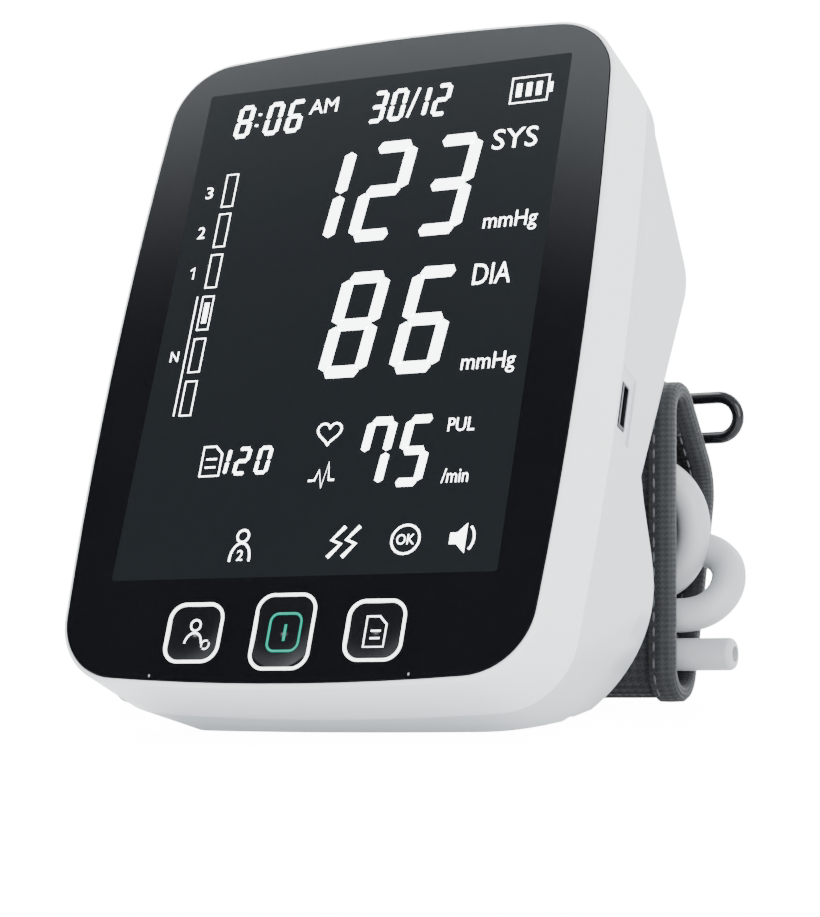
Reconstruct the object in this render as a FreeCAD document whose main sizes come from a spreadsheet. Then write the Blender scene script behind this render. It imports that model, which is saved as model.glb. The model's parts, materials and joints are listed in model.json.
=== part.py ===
"""Upper arm blood pressure monitor with its rolled cuff, as a parametric FreeCAD document.

Frame: +X to the reader's right, +Y towards the back, +Z up. The origin is the middle of the
rubber base pad's underside, on the table. Pieces that lie square to the screen are modelled in
the face frame, whose origin is the middle of the lit area: x right, y up the face, z out of it.
"""
import FreeCAD, Part
import math
import os
import Sketcher

V = FreeCAD.Vector
doc = FreeCAD.newDocument("BloodPressureMonitor")
NODES = []

# ---------------------------------------------------------------- driving dimensions, mm and degrees
SIZES = {
    "lean_angle": 24.5,            # face leans back from upright
    "screen_height": 78.7,         # middle of the lit area above the table
    "screen_setback": 14.5,        # middle of the lit area in front of the origin
    "window_half_width": 50.0,
    "window_half_height": 67.6,
    "window_middle": -6.1,         # outline's middle, below the middle of the lit area
    "window_side_bow": 841.0,      # radius of the long, slightly bowed sides
    "window_end_bow": 516.0,
    "window_corner": 13.0,
    "window_thick": 1.6,
    "rim": 1.0,                    # shell showing round the window
    "rim_drop": 0.25,              # shell's edge behind the window's face
    "fit_gap": 0.2,
    "wall": 2.2,
    "front_depth": 17.5,           # parting line behind the face
    "pad_thick": 1.5,
    "base_step": 0.5,              # shell's base above the table, on its rubber pad
    "turn_depth": 44.0,            # depth of the rear shell's middle section
    "turn_half_width": 50.4,
    "turn_corner": 40.0,           # its big lower corners
    "rear_depth": 70.0,            # depth of the rear shell's last section
    "rear_half_width": 48.5,
    "rear_corner": 47.5,
    "rear_half_height": 68.6,
    "rear_middle": -7.0,
    "far_half_height": 63.3,       # the last section ends higher, so the foot narrows downwards
    "far_middle": -1.7,
    "rear_top_corner": 18.0,
    "back_depth": 26.0,            # flat back of the slab
    "hump_half_width": 49.2,
    "hump_end_half_width": 46.2,
    "hump_base_depth": 20.0,
    "hump_end_depth": 58.0,
    "slab_round": 4.0,
    "hump_round": 5.0,
    "ridge_round": 9.0,
    "lit_half_width": 40.0,
    "lit_half_height": 53.3,
    "glass_half_width": 41.5,
    "glass_half_height": 54.3,
    "glass_thick": 2.0,
    "glass_depth": 1.75,
    "light_thick": 2.8,
    "frame_half_width": 42.6,
    "frame_half_height": 55.2,
    "board_depth": 10.5,
    "board_thick": 1.6,
    "button_row": -64.0,
    "side_button_x": 18.7,
    "side_button_middle": -0.9,
    "side_button": 11.8,
    "main_button_width": 12.5,
    "main_button_height": 14.8,
    "ring_thick": 0.55,
    "button_gap": 0.1,
    "button_corner": 3.4,
    "button_travel": 0.7,
    "key_post_x": 27.4,
    "dish_radius": 36.0,
    "slope_angle": 16.4,           # back of the hump against the face
    "slope_y": -2.0,
    "slope_depth": 48.5,
    "cover_width": 66.0,
    "cover_length": 53.0,
    "cover_thick": 1.8,
    "cell_radius": 7.1,
    "cell_length": 50.5,
    "cell_pitch": 14.9,
    "pump_x": 2.0,
    "pump_y": -48.0,
    "pump_depth": 35.0,
    "pump_head_size": 20.0,
    "motor_radius": 12.0,
    "motor_length": 27.0,
    "socket_y": -33.0,
    "socket_depth": 28.0,
    "plug_radius": 3.3,
    "plug_length": 22.0,
    "socket_bore": 3.36,
    "socket_length": 12.0,
    "usb_y": -12.0,
    "usb_depth": 21.5,
    "screw_top_x": 37.0,
    "screw_low_x": 33.5,
    "screw_top_y": 57.6,
    "screw_low_y": -64.0,
    "screw_radius": 1.2,
    "low_seat_depth": 24.5,        # where the lower screws' heads sit in their wells
    "cuff_left": -90.0,
    "cuff_right": 43.0,
    "cuff_fold_y": 45.0,           # bottom fold of the rolled cuff
    "cuff_fold_z": 7.5,
    "cuff_fold_radius": 7.0,
    "cuff_back_y": 56.0,           # bulge at the back
    "cuff_back_z": 43.0,
    "cuff_back_radius": 11.0,
    "cuff_top_y": 50.5,            # top fold
    "cuff_top_z": 58.2,
    "cuff_top_radius": 6.5,
    "fabric_thick": 0.9,
    "bladder_thick": 0.6,
    "binding_width": 4.5,
    "hose_radius": 3.5,
    "neck_radius": 3.6,
    "ring_bar_y": 66.2,
    "ring_bar_z": 53.6,
    "ring_height": 8.4,
    "ring_wire": 1.3,
    "ring_left": -78.0,
    "ring_right": 41.2,
}

sheet = doc.addObject("Spreadsheet::Sheet", "Sizes")
for row, (alias, size) in enumerate(SIZES.items(), start=1):
    sheet.set(f"A{row}", alias)
    sheet.set(f"B{row}", str(size))
    sheet.setAlias(f"B{row}", alias)
doc.recompute()


def cell(text):
    """A formula on the sheet's aliases, such as 'rim + wall', as an expression."""
    words = text.replace("(", " ( ").replace(")", " ) ").split()
    return " ".join(f"Sizes.{word}" if word in SIZES else word for word in words)


def size(text):
    """The number that such a formula has now."""
    return float(sheet.evalExpression(cell(text)))


def rotation(axis, degrees):
    return FreeCAD.Rotation(V(*axis), degrees)


FACE = FreeCAD.Placement(V(0, -size("screen_setback"), size("screen_height")),
                         rotation((1, 0, 0), 90 - size("lean_angle")))
# the slope frame lies on the hump's sloping back: x right, y up the slope, z out of it
SLOPE = FreeCAD.Placement(V(0, size("slope_y"), -size("slope_depth")),
                          rotation((0, 1, 0), 180).multiply(rotation((1, 0, 0), size("slope_angle"))))
LEVEL = FreeCAD.Placement()


# ---------------------------------------------------------------- helpers
def node(thing, label, placement=None):
    """Marks a finished sub-part: its label names its file."""
    thing.Label = label
    if placement:
        thing.Placement = placement.multiply(thing.Placement)
    NODES.append(thing)
    return thing


def bind(thing, **formulas):
    for prop, formula in formulas.items():
        thing.setExpression(prop, cell(formula))


def box(name, x, y, z, length, width, height):
    """A box from its lowest corner, each size a formula."""
    thing = doc.addObject("Part::Box", name)
    bind(thing, Length=length, Width=width, Height=height)
    thing.Placement = FreeCAD.Placement(V(size(x), size(y), size(z)), FreeCAD.Rotation())
    return thing


def cylinder(name, x, y, z, radius, height, axis=(0, 0, 1)):
    """A round bar that starts at a point and runs along an axis."""
    thing = doc.addObject("Part::Cylinder", name)
    bind(thing, Radius=radius, Height=height)
    thing.Placement = FreeCAD.Placement(V(size(x), size(y), size(z)),
                                        FreeCAD.Rotation(V(0, 0, 1), V(*axis)))
    return thing


def fuse(name, *things):
    joined = doc.addObject("Part::MultiFuse", name)
    joined.Shapes = list(things)
    joined.Refine = True
    return joined


def cut(name, base, *tools):
    tool = tools[0] if len(tools) == 1 else fuse(name + "_tools", *tools)
    left = doc.addObject("Part::Cut", name)
    left.Base = base
    left.Tool = tool
    return left


def common(name, first, second):
    shared = doc.addObject("Part::MultiCommon", name)
    shared.Shapes = [first, second]
    return shared


def group(name, things):
    """Separate solids that share a node."""
    together = doc.addObject("Part::Compound", name)
    together.Links = list(things)
    return together


def extrusion(name, base, length, direction=(0, 0, 1), symmetric=False):
    thing = doc.addObject("Part::Extrusion", name)
    thing.Base = base
    thing.DirMode = "Custom"
    thing.Dir = V(*direction)
    thing.Solid = True
    thing.Symmetric = symmetric
    bind(thing, LengthFwd=length)
    return thing


def loft(name, sections):
    thing = doc.addObject("Part::Loft", name)
    thing.Sections = list(sections)
    thing.Solid = True
    thing.Ruled = True
    return thing


def fixed(sketch, kind, *where):
    """A dimension in a sketch, bound to its formula."""
    formula = where[-1]
    index = sketch.addConstraint(Sketcher.Constraint(kind, *where[:-1], size(formula)))
    sketch.setExpression(f"Constraints[{index}]", cell(formula))


def polygon(name, corners, plane="XY", level="0"):
    """A closed outline through corners given as pairs of formulas."""
    sketch = doc.addObject("Sketcher::SketchObject", name)
    count = len(corners)
    points = [V(size(across), size(up), 0) for across, up in corners]
    for index in range(count):
        sketch.addGeometry(Part.LineSegment(points[index], points[(index + 1) % count]))
    for index, (across, up) in enumerate(corners):
        sketch.addConstraint(Sketcher.Constraint("Coincident", index, 2, (index + 1) % count, 1))
        fixed(sketch, "DistanceX", -1, 1, index, 1, across)
        fixed(sketch, "DistanceY", -1, 1, index, 1, up)
    lay(sketch, plane, level)
    return sketch


def lay(sketch, plane, level):
    """Lays a sketch parallel to a plane of its frame. On YZ, across is y and up is z."""
    turn = {"XY": FreeCAD.Rotation(), "YZ": FreeCAD.Rotation(V(1, 1, 1), 120)}[plane]
    base = V(0, 0, size(level)) if plane == "XY" else V(size(level), 0, 0)
    sketch.Placement = FreeCAD.Placement(base, turn)


def bowed_outline(name, level, half_width, half_height, middle, top_corner, bottom_corner, grow="0"):
    """The monitor's outline: four slightly bowed sides and four round corners, all tangent."""
    side_bow = size(f"window_side_bow + {grow}")
    end_bow = size(f"window_end_bow + {grow}")
    side_x = size(f"{half_width} - window_side_bow")
    end_y = size(f"{half_height} - window_end_bow")
    centre_y = size(middle)

    def corner_centre(radius):
        """Where a corner's arc touches a side's arc and an end's arc from inside."""
        reach_side, reach_end = side_bow - radius, end_bow - radius
        apart = math.hypot(side_x, end_y)
        along = (reach_side ** 2 - reach_end ** 2 + apart ** 2) / (2 * apart)
        out = math.sqrt(reach_side ** 2 - along ** 2)
        ux, uy = -side_x / apart, end_y / apart
        for sign in (1, -1):
            x = side_x + ux * along - sign * uy * out
            y = uy * along + sign * ux * out
            if x > 0 and y > 0:
                return x, y
        raise ValueError("the corner's arc doesn't fit")

    top_radius = size(f"{top_corner} + {grow}")
    low_radius = size(f"{bottom_corner} + {grow}")
    top_x, top_y = corner_centre(top_radius)
    low_x, low_y = corner_centre(low_radius)
    side_up = math.atan2(top_y, top_x - side_x)
    side_down = -math.atan2(low_y, low_x - side_x)
    end_right = math.atan2(top_y - end_y, top_x)
    low_right = -math.atan2(low_y - end_y, low_x)
    turn = math.pi
    arcs = [
        (side_x, 0, side_bow, side_down, side_up),
        (top_x, top_y, top_radius, side_up, end_right),
        (0, end_y, end_bow, end_right, turn - end_right),
        (-top_x, top_y, top_radius, turn - end_right, turn - side_up),
        (-side_x, 0, side_bow, turn - side_up, turn - side_down),
        (-low_x, -low_y, low_radius, turn - side_down, turn - low_right),
        (0, -end_y, end_bow, turn - low_right, 2 * turn + low_right),
        (low_x, -low_y, low_radius, low_right, side_down),
    ]
    sketch = doc.addObject("Sketcher::SketchObject", name)
    for x, y, radius, start, stop in arcs:
        circle = Part.Circle(V(x, y + centre_y, 0), V(0, 0, 1), radius)
        sketch.addGeometry(Part.ArcOfCircle(circle, start, stop))
    for index in range(8):
        sketch.addConstraint(Sketcher.Constraint("Tangent", index, 2, (index + 1) % 8, 1))
    radii = {0: f"window_side_bow + {grow}", 2: f"window_end_bow + {grow}",
             1: f"{top_corner} + {grow}", 5: f"{bottom_corner} + {grow}"}
    for index, formula in radii.items():
        fixed(sketch, "Radius", index, formula)
    for first, second in ((0, 4), (2, 6), (1, 3), (5, 7)):
        sketch.addConstraint(Sketcher.Constraint("Equal", first, second))
    centres = {0: (f"{half_width} - window_side_bow", middle),
               4: (f"window_side_bow - {half_width}", middle),
               2: ("0", f"{middle} + {half_height} - window_end_bow"),
               6: ("0", f"{middle} - {half_height} + window_end_bow")}
    for index, (across, up) in centres.items():
        if across == "0":
            sketch.addConstraint(Sketcher.Constraint("PointOnObject", index, 3, -2))
        else:
            fixed(sketch, "DistanceX", -1, 1, index, 3, across)
        fixed(sketch, "DistanceY", -1, 1, index, 3, up)
    lay(sketch, "XY", level)
    return sketch


def window_outline(name, depth, grow="0"):
    return bowed_outline(name, f"0 - ( {depth} )", "window_half_width", "window_half_height",
                         "window_middle", "window_corner", "window_corner", grow)


def slab(name, grow, start, stop):
    """The window's outline, grown, between two depths behind the face."""
    outline = window_outline(name + "_outline", stop, grow)
    return extrusion(name, outline, f"{stop} - ( {start} )")


def rounded_edges(name, thing, radius, picked):
    """Rounds the edges that picked() chooses."""
    doc.recompute()
    smooth = doc.addObject("Part::Fillet", name)
    smooth.Base = thing
    value = size(radius)
    smooth.Edges = [(index, value, value) for index, edge in enumerate(thing.Shape.Edges, start=1)
                    if picked(edge)]
    return smooth


def upright(edge):
    """An edge along the face frame's z."""
    start, stop = edge.Vertexes[0].Point, edge.Vertexes[-1].Point
    return abs(start.x - stop.x) < 1e-6 and abs(start.y - stop.y) < 1e-6 and start != stop


def rounded_block(name, x, y, near, width, height, deep, corner):
    """A block with round upright edges, centred on x and y, from one depth for a length."""
    block = box(name + "_block", f"{x} - ( {width} ) / 2", f"{y} - ( {height} ) / 2",
                f"0 - ( {near} ) - ( {deep} )", width, height, deep)
    return rounded_edges(name, block, corner, upright)


# ---------------------------------------------------------------- shells
def shifted(points, inset):
    """A closed outline of (across, up) pairs moved inwards by a distance, corner by corner."""
    if inset == 0:
        return points
    count = len(points)
    twice_area = sum(points[i - 1][0] * points[i][1] - points[i][0] * points[i - 1][1]
                     for i in range(count))
    inward = 1 if twice_area > 0 else -1
    lines = []
    for i in range(count):
        (ax, ay), (bx, by) = points[i - 1], points[i]
        length = math.hypot(bx - ax, by - ay)
        nx, ny = -(by - ay) / length * inward, (bx - ax) / length * inward
        lines.append((nx, ny, nx * ax + ny * ay + inset))
    moved = []
    for i in range(count):
        (ax, ay, a), (bx, by, b) = lines[i], lines[(i + 1) % count]
        det = ax * by - ay * bx
        moved.append(((a * by - ay * b) / det, (ax * b - a * bx) / det))
    return moved


def prism(name, outline, inset):
    """A slice across the whole width from a side outline of (height, depth) pairs."""
    moved = shifted(outline, inset)
    sketch = polygon(name + "_outline", [(f"{up:.4f}", f"{-depth:.4f}") for up, depth in moved], "YZ")
    return extrusion(name, sketch, "2.6 * window_half_width", (1, 0, 0), symmetric=True)


def base_height(depth):
    """Height on the face frame of the shell's base plane at a depth."""
    lean = math.radians(size("lean_angle"))
    return (depth * math.sin(lean) - size("screen_height - base_step")) / math.cos(lean)


HEEL_DEPTH = 66.6
SLAB_SIDE = [(90, -6), (90, 26), (-6, 26), (-13, 28.4), (-19, 31.8), (-25, 36.6), (-31, 42.5),
             (base_height(HEEL_DEPTH), HEEL_DEPTH), (base_height(-6), -6)]
HUMP_SIDE = [(54, 19.5), (51, 26), (34.1, 59.1), (-34, 39.1), (-34, 19.5)]
HUMP_PLAN = [("hump_half_width", "hump_base_depth"), ("hump_end_half_width", "hump_end_depth")]


def rear_slab(name, inset):
    near = window_outline(name + "_near", "front_depth", f"rim - {inset}")
    turn = bowed_outline(name + "_turn", "0 - turn_depth", "turn_half_width", "rear_half_height",
                         "rear_middle", "rear_top_corner", "turn_corner", f"0 - {inset}")
    far = bowed_outline(name + "_far", "0 - rear_depth", "rear_half_width", "far_half_height",
                        "far_middle", "rear_top_corner", "rear_corner", f"0 - {inset}")
    body = loft(name + "_body", [near, turn, far])
    return common(name, body, prism(name + "_side", SLAB_SIDE, size(inset)))


def rear_hump(name, inset):
    """The hump behind the slab: a tapering block cut to its side outline, its ridge rounded."""
    side = prism(name + "_side", HUMP_SIDE, size(inset))
    def at_ridge(edge):
        return all(abs(end.Point.y - 34.1) < 4 and end.Point.z < -54 for end in edge.Vertexes)

    rounded = rounded_edges(name + "_ridge", side, "ridge_round", at_ridge)
    widths = [(size(f"{wide} - {inset}"), size(deep)) for wide, deep in HUMP_PLAN]
    (near_x, near_z), (far_x, far_z) = widths
    plan = doc.addObject("Sketcher::SketchObject", name + "_plan")
    reach = 12
    slope = (far_x - near_x) / (far_z - near_z)
    end_x = near_x + slope * (far_z + reach - near_z)
    corners = [(-near_x, -near_z), (near_x, -near_z), (end_x, -far_z - reach), (-end_x, -far_z - reach)]
    for i in range(4):
        plan.addGeometry(Part.LineSegment(V(*corners[i], 0), V(*corners[(i + 1) % 4], 0)))
    for i in range(4):
        plan.addConstraint(Sketcher.Constraint("Coincident", i, 2, (i + 1) % 4, 1))
    plan.Placement = FreeCAD.Placement(V(0, -60, 0), rotation((1, 0, 0), 90))
    block = extrusion(name + "_block", plan, "120", (0, 1, 0))
    return common(name, rounded, block)


def slab_edge(edge):
    """An edge of the slab's flat back, apart from the crease above its flared foot."""
    reach = edge.BoundBox
    flat_back = -size("back_depth")
    return abs(reach.ZMax - flat_back) < 0.01 and reach.ZLength < 0.01 and reach.YMax > -5.9


def hump_edge(edge):
    """One of the hump's long edges, between its sides and its back."""
    reach = edge.BoundBox
    side_x = abs(reach.Center.x)
    return reach.XLength < 6 and 40 < side_x < 48.5 and reach.YLength > 5 and reach.Center.z < -35


smooth_slab = rounded_edges("smooth_slab", rear_slab("outer_slab", "0"), "slab_round", slab_edge)
smooth_hump = rounded_edges("smooth_hump", rear_hump("outer_hump", "0"), "hump_round", hump_edge)
rear_outer = fuse("rear_outer", smooth_slab, smooth_hump)
rear_inner = fuse("rear_inner", rear_slab("inner_slab", "wall"), rear_hump("inner_hump", "wall"))
rear_walls = cut("rear_walls", rear_outer, rear_inner)

# screw posts: short at the top, long in the deep lower wells
posts, wells = [], []
for side in (-1, 1):
    top = (f"{side} * screw_top_x", "screw_top_y")
    low = (f"{side} * screw_low_x", "screw_low_y")
    posts += [cylinder(f"top_post_{side}", *top, "0 - back_depth", "2.3", "back_depth - front_depth"),
              cylinder(f"low_post_{side}", *low, "0 - turn_depth - 12", "3.4",
                       "turn_depth + 12 - front_depth")]
    wells += [cylinder(f"top_hole_{side}", *top, "0 - back_depth - 1", "screw_radius + 0.15", "12"),
              cylinder(f"top_sink_{side}", *top, "0 - back_depth - 1", "2.1", "2.6"),
              cylinder(f"low_hole_{side}", *low, "0 - back_depth - 2", "screw_radius + 0.15", "14"),
              cylinder(f"low_sink_{side}", *low, "0 - rear_depth - 20", "2.3",
                       "rear_depth + 20 - low_seat_depth")]
posts_inside = common("posts_inside", fuse("rear_posts", *posts), rear_outer)


def on_slope(name, x, y, z, length, width, height):
    thing = box(name, x, y, z, length, width, height)
    thing.Placement = SLOPE.multiply(thing.Placement)
    return thing


cover_way = on_slope("cover_way", "0 - cover_width / 2 - 0.15", "0 - cover_length / 2 - 0.15",
                     "0 - cover_thick - 0.05", "cover_width + 0.3", "cover_length + 26", "12")
bay_way = on_slope("bay_way", "0 - cover_width / 2 + 1.8", "0 - cell_length / 2 - 0.6",
                   "0 - 16", "cover_width - 3.6", "cell_length + 1.2", "20")
usb_way = box("usb_way", "40", "usb_y - 4.7", "0 - usb_depth - 1.7", "20", "9.4", "3.4")
usb_dish = rounded_block("usb_dish", "51.6", "usb_y", "usb_depth - 3.6", "2.6", "14.5", "7.2", "1.2")
socket_way = cylinder("socket_way", "0 - 40", "socket_y", "0 - socket_depth", "5.2", "20", (-1, 0, 0))
socket_dish = cylinder("socket_dish", "0 - 50.3", "socket_y", "0 - socket_depth", "6.3", "4", (-1, 0, 0))
pad_way = box("pad_way", "0 - 28.2", "0 - 17.2", "0 - 1", "56.4", "34.4", "pad_thick + 1")
pad_way.Placement = FACE.inverse().multiply(pad_way.Placement)
rear_shell = cut("rear_shell", fuse("rear_solid", rear_walls, posts_inside),
                 cover_way, bay_way, usb_way, usb_dish, socket_way, socket_dish, pad_way, *wells)
node(rear_shell, "rear_shell", FACE)

front_skin = slab("front_skin", "rim", "rim_drop", "front_depth")


def front_rim(edge):
    return all(abs(end.Point.z + size("rim_drop")) < 1e-4 for end in edge.Vertexes)


front_outer = rounded_edges("front_outer", front_skin, "0.8", front_rim)
front_tools = [
    slab("window_seat", "fit_gap", "0 - 1", "glass_depth"),
    slab("front_hollow", "rim - wall", "3.7", "front_depth + 1"),
    rounded_block("screen_way", "0", "0", "0 - 1", "2 * glass_half_width + 0.4",
                  "2 * glass_half_height + 0.4", "6", "1.2"),
]
BUTTONS = [
    ("user", "0 - side_button_x + side_button_middle", "side_button", "side_button"),
    ("start", "side_button_middle", "main_button_width", "main_button_height"),
    ("memory", "side_button_x + side_button_middle", "side_button", "side_button"),
]
for name, x, width, height in BUTTONS:
    front_tools.append(rounded_block(name + "_way", x, "button_row", "1", f"{width} + 0.2",
                                     f"{height} + 0.2", "5", "button_corner"))
front_walls = cut("front_walls", front_outer, *front_tools)
front_posts, pilot_holes = [], []
for side in (-1, 1):
    for level in ("top", "low"):
        x, y = f"{side} * screw_{level}_x", f"screw_{level}_y"
        front_posts.append(cylinder(f"front_{level}_post_{side}", x, y, "0 - front_depth", "2.3",
                                    "front_depth - 3"))
        pilot_holes.append(cylinder(f"front_{level}_hole_{side}", x, y, "0 - front_depth - 1",
                                    "screw_radius + 0.02", "11"))
    front_posts.append(cylinder(f"key_post_{side}", f"{side} * key_post_x + side_button_middle",
                                "button_row", "0 - 12.6", "1.1", "9.4"))
front_posts_inside = common("front_posts_inside", fuse("front_posts", *front_posts), front_skin)
front_shell = cut("front_shell", fuse("front_solid", front_walls, front_posts_inside), *pilot_holes)
node(front_shell, "front_shell", FACE)


# ---------------------------------------------------------------- window, display and buttons
window_plate = slab("window_plate", "0", "0", "window_thick")
button_holes = [rounded_block(name + "_hole", x, "button_row", "0 - 1", width, height, "5", "button_corner")
                for name, x, width, height in BUTTONS]
node(cut("display_window", window_plate, *button_holes), "display_window", FACE)

tape_outer = slab("tape_outer", "0 - 0.4", "window_thick", "glass_depth")
node(cut("window_tape", tape_outer,
         rounded_block("tape_screen", "0", "0", "0 - 1", "2 * glass_half_width + 0.4",
                       "2 * glass_half_height + 0.4", "6", "2"),
         *[rounded_block(name + "_tape", x, "button_row", "0 - 1", f"{width} + 0.6",
                         f"{height} + 0.6", "5", "button_corner")
           for name, x, width, height in BUTTONS]), "window_tape", FACE)

rings = []
for name, x, width, height in BUTTONS:
    outer = rounded_block(name + "_ring_outer", x, "button_row", "0 - 0.15", f"{width} - 0.02",
                          f"{height} - 0.02", "3.6", "button_corner - 0.01")
    inner = rounded_block(name + "_ring_inner", x, "button_row", "0 - 1", f"{width} - 2 * ring_thick",
                          f"{height} - 2 * ring_thick", "6", "button_corner - ring_thick")
    rings.append(cut(name + "_ring", outer, inner))
node(group("button_rings", rings), "button_rings", FACE)

for name, x, width, height in BUTTONS:
    inside = "2 * ring_thick + 2 * button_gap"
    cap = rounded_block(name + "_cap", x, "button_row", "0 - 0.1", f"{width} - ( {inside} )",
                        f"{height} - ( {inside} )", "4.4", "button_corner - ring_thick - button_gap")
    flange = rounded_block(name + "_flange", x, "button_row", "3.75",
                           f"{width} + 1.2", f"{height} + 1.2", "0.9", "button_corner")
    stem = cylinder(name + "_stem", x, "button_row", "0 - 5.4", "1.7", "1.6")
    ball = doc.addObject("Part::Sphere", name + "_dish")
    bind(ball, Radius="dish_radius")
    ball.Placement = FreeCAD.Placement(V(size(x), size("button_row"), size("dish_radius - 0.6")),
                                       FreeCAD.Rotation())
    node(cut(name + "_button", fuse(name + "_body", cap, flange, stem), ball), name + "_button", FACE)

glass = rounded_block("glass", "0", "0", "glass_depth", "2 * glass_half_width", "2 * glass_half_height",
                      "glass_thick", "1.2")
node(glass, "lcd_panel", FACE)
light_depth = "glass_depth + glass_thick + 0.05"
node(rounded_block("light", "0", "0", light_depth, "2 * glass_half_width", "2 * glass_half_height",
                   "light_thick", "1.2"), "backlight", FACE)
frame_block = rounded_block("frame", "0", "0", "3.75", "2 * frame_half_width", "2 * frame_half_height",
                            "5.05", "1.5")
frame_hollow = box("frame_hollow", "0 - glass_half_width - 0.1", "0 - glass_half_height - 0.1", "0 - 6.65",
                   "2 * glass_half_width + 0.2", "2 * glass_half_height + 0.2", "4")
BOARD_SCREWS = [(x, y) for x in (-37, 37) for y in (-46, 42)]
frame_posts = [cylinder(f"frame_post_{i}", str(x), str(y), "0 - board_depth", "2.4", "board_depth - 8")
               for i, (x, y) in enumerate(BOARD_SCREWS)]
frame_pilots = [cylinder(f"frame_pilot_{i}", str(x), str(y), "0 - board_depth - 1", "1.02", "4.5")
                for i, (x, y) in enumerate(BOARD_SCREWS)]
flex_slot = box("flex_slot", "0 - 12.4", "0 - 52.6", "0 - 9", "24.8", "1.2", "3")
frame_tray = cut("frame_tray", frame_block, frame_hollow, flex_slot)
node(cut("lcd_frame", fuse("frame_solid", frame_tray, *frame_posts), *frame_pilots), "lcd_frame", FACE)

board = rounded_block("board", "0", "0 - 3", "board_depth", "82", "100", "board_thick", "2")
board_holes = [cylinder(f"board_hole_{i}", str(x), str(y), "0 - 20", "1.2", "20")
               for i, (x, y) in enumerate(BOARD_SCREWS)]
node(cut("main_board", board, *board_holes), "main_board", FACE)
board_screws = []
for i, (x, y) in enumerate(BOARD_SCREWS):
    head = cylinder(f"board_head_{i}", str(x), str(y), "0 - board_depth - board_thick - 1.4", "2", "1.4")
    shank = cylinder(f"board_shank_{i}", str(x), str(y), "0 - board_depth - board_thick", "1", "4.6")
    board_screws.append(fuse(f"board_screw_{i}", head, shank))
node(group("board_screws", board_screws), "board_screws", FACE)

key_board = rounded_block("keys", "side_button_middle", "button_row", "board_depth", "59", "13.5",
                          "board_thick", "1")
key_holes = [cylinder(f"key_hole_{side}", f"{side} * key_post_x + side_button_middle", "button_row",
                      "0 - 20", "1.15", "20") for side in (-1, 1)]
node(cut("key_board", key_board, *key_holes), "key_board", FACE)
switches = []
for name, x, width, height in BUTTONS:
    case = rounded_block(name + "_switch_case", x, "button_row", "7.1", "6", "6", "board_depth - 7.1", "0.4")
    knob = cylinder(name + "_switch_knob", x, "button_row", "0 - 7.1", "1.6", "0.9")
    switches.append(fuse(name + "_switch", case, knob))
node(group("tact_switches", switches), "tact_switches", FACE)

# the ribbon leaves the backlight through the frame's slot and runs up to the board's connector
flex_path = [(-52.2, 6.62), (-51.9, 6.62), (-51.9, 10.0), (-44, 10.0), (-44, 10.3), (-52.2, 10.3)]
flex_side = polygon("flex_side", [(str(up), str(-deep)) for up, deep in flex_path], "YZ")
node(extrusion("lcd_flex", flex_side, "24", (1, 0, 0), symmetric=True), "lcd_flex", FACE)

ports = rounded_block("port_shell", "47.4", "usb_y", "usb_depth - 1.5", "6.2", "9", "3", "0.4")
port_hollow = box("port_hollow", "46", "usb_y - 4", "0 - usb_depth - 1", "6", "8", "2")
port_tongue = box("port_tongue", "45.5", "usb_y - 2.9", "0 - usb_depth - 0.35", "4.4", "5.8", "0.7")
node(fuse("usb_receptacle", cut("port_case", ports, port_hollow), port_tongue), "usb_receptacle", FACE)
node(rounded_block("usb_plate", "41.6", "usb_y", "usb_depth - 2.4", "5", "13", "0.8", "0.5"),
     "usb_board", FACE)

horn = cylinder("horn", "8 - 30", "46", "0 - 22", "9", "5")
node(horn, "speaker", FACE)

# ---------------------------------------------------------------- pump, valve, sensor and air way
along_x = (1, 0, 0)
pump_z = "0 - pump_depth"
can = cylinder("can", "pump_x", "pump_y", pump_z, "motor_radius", "motor_length", along_x)
can_room = cylinder("can_room", "pump_x + 1", "pump_y", pump_z, "motor_radius - 1", "motor_length - 2",
                    along_x)
bearing = cylinder("bearing", "pump_x - 1", "pump_y", pump_z, "1.05", "motor_length + 4", along_x)
node(cut("pump_motor", can, can_room, bearing), "pump_motor", FACE)
shaft = cylinder("shaft", "pump_x - 12", "pump_y", pump_z, "1", "motor_length + 13.5", along_x)
armature = cylinder("armature", "pump_x + 5", "pump_y", pump_z, "motor_radius - 2.5", "15", along_x)
crank = cylinder("crank", "pump_x - 9", "pump_y + 1.6", pump_z, "4.2", "3", along_x)
node(fuse("pump_rotor", shaft, armature, crank), "pump_rotor", FACE)
head = rounded_block("head", "pump_x - 8.1", "pump_y", "pump_depth - pump_head_size / 2", "16",
                     "pump_head_size", "pump_head_size", "2")
head_room = cylinder("head_room", "pump_x - 15", "pump_y", pump_z, "9", "16", along_x)
outlet = cylinder("outlet", "pump_x - 21", "pump_y + 6", pump_z, "1.9", "6", along_x)
node(fuse("pump_head", cut("head_case", head, head_room), outlet), "pump_head", FACE)
sleeve = cylinder("sleeve", "pump_x + 6", "pump_y", pump_z, "motor_radius + 1.4", "14", along_x)
sleeve_room = cylinder("sleeve_room", "pump_x + 5", "pump_y", pump_z, "motor_radius", "16", along_x)
node(cut("pump_sleeve", sleeve, sleeve_room), "pump_sleeve", FACE)

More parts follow.
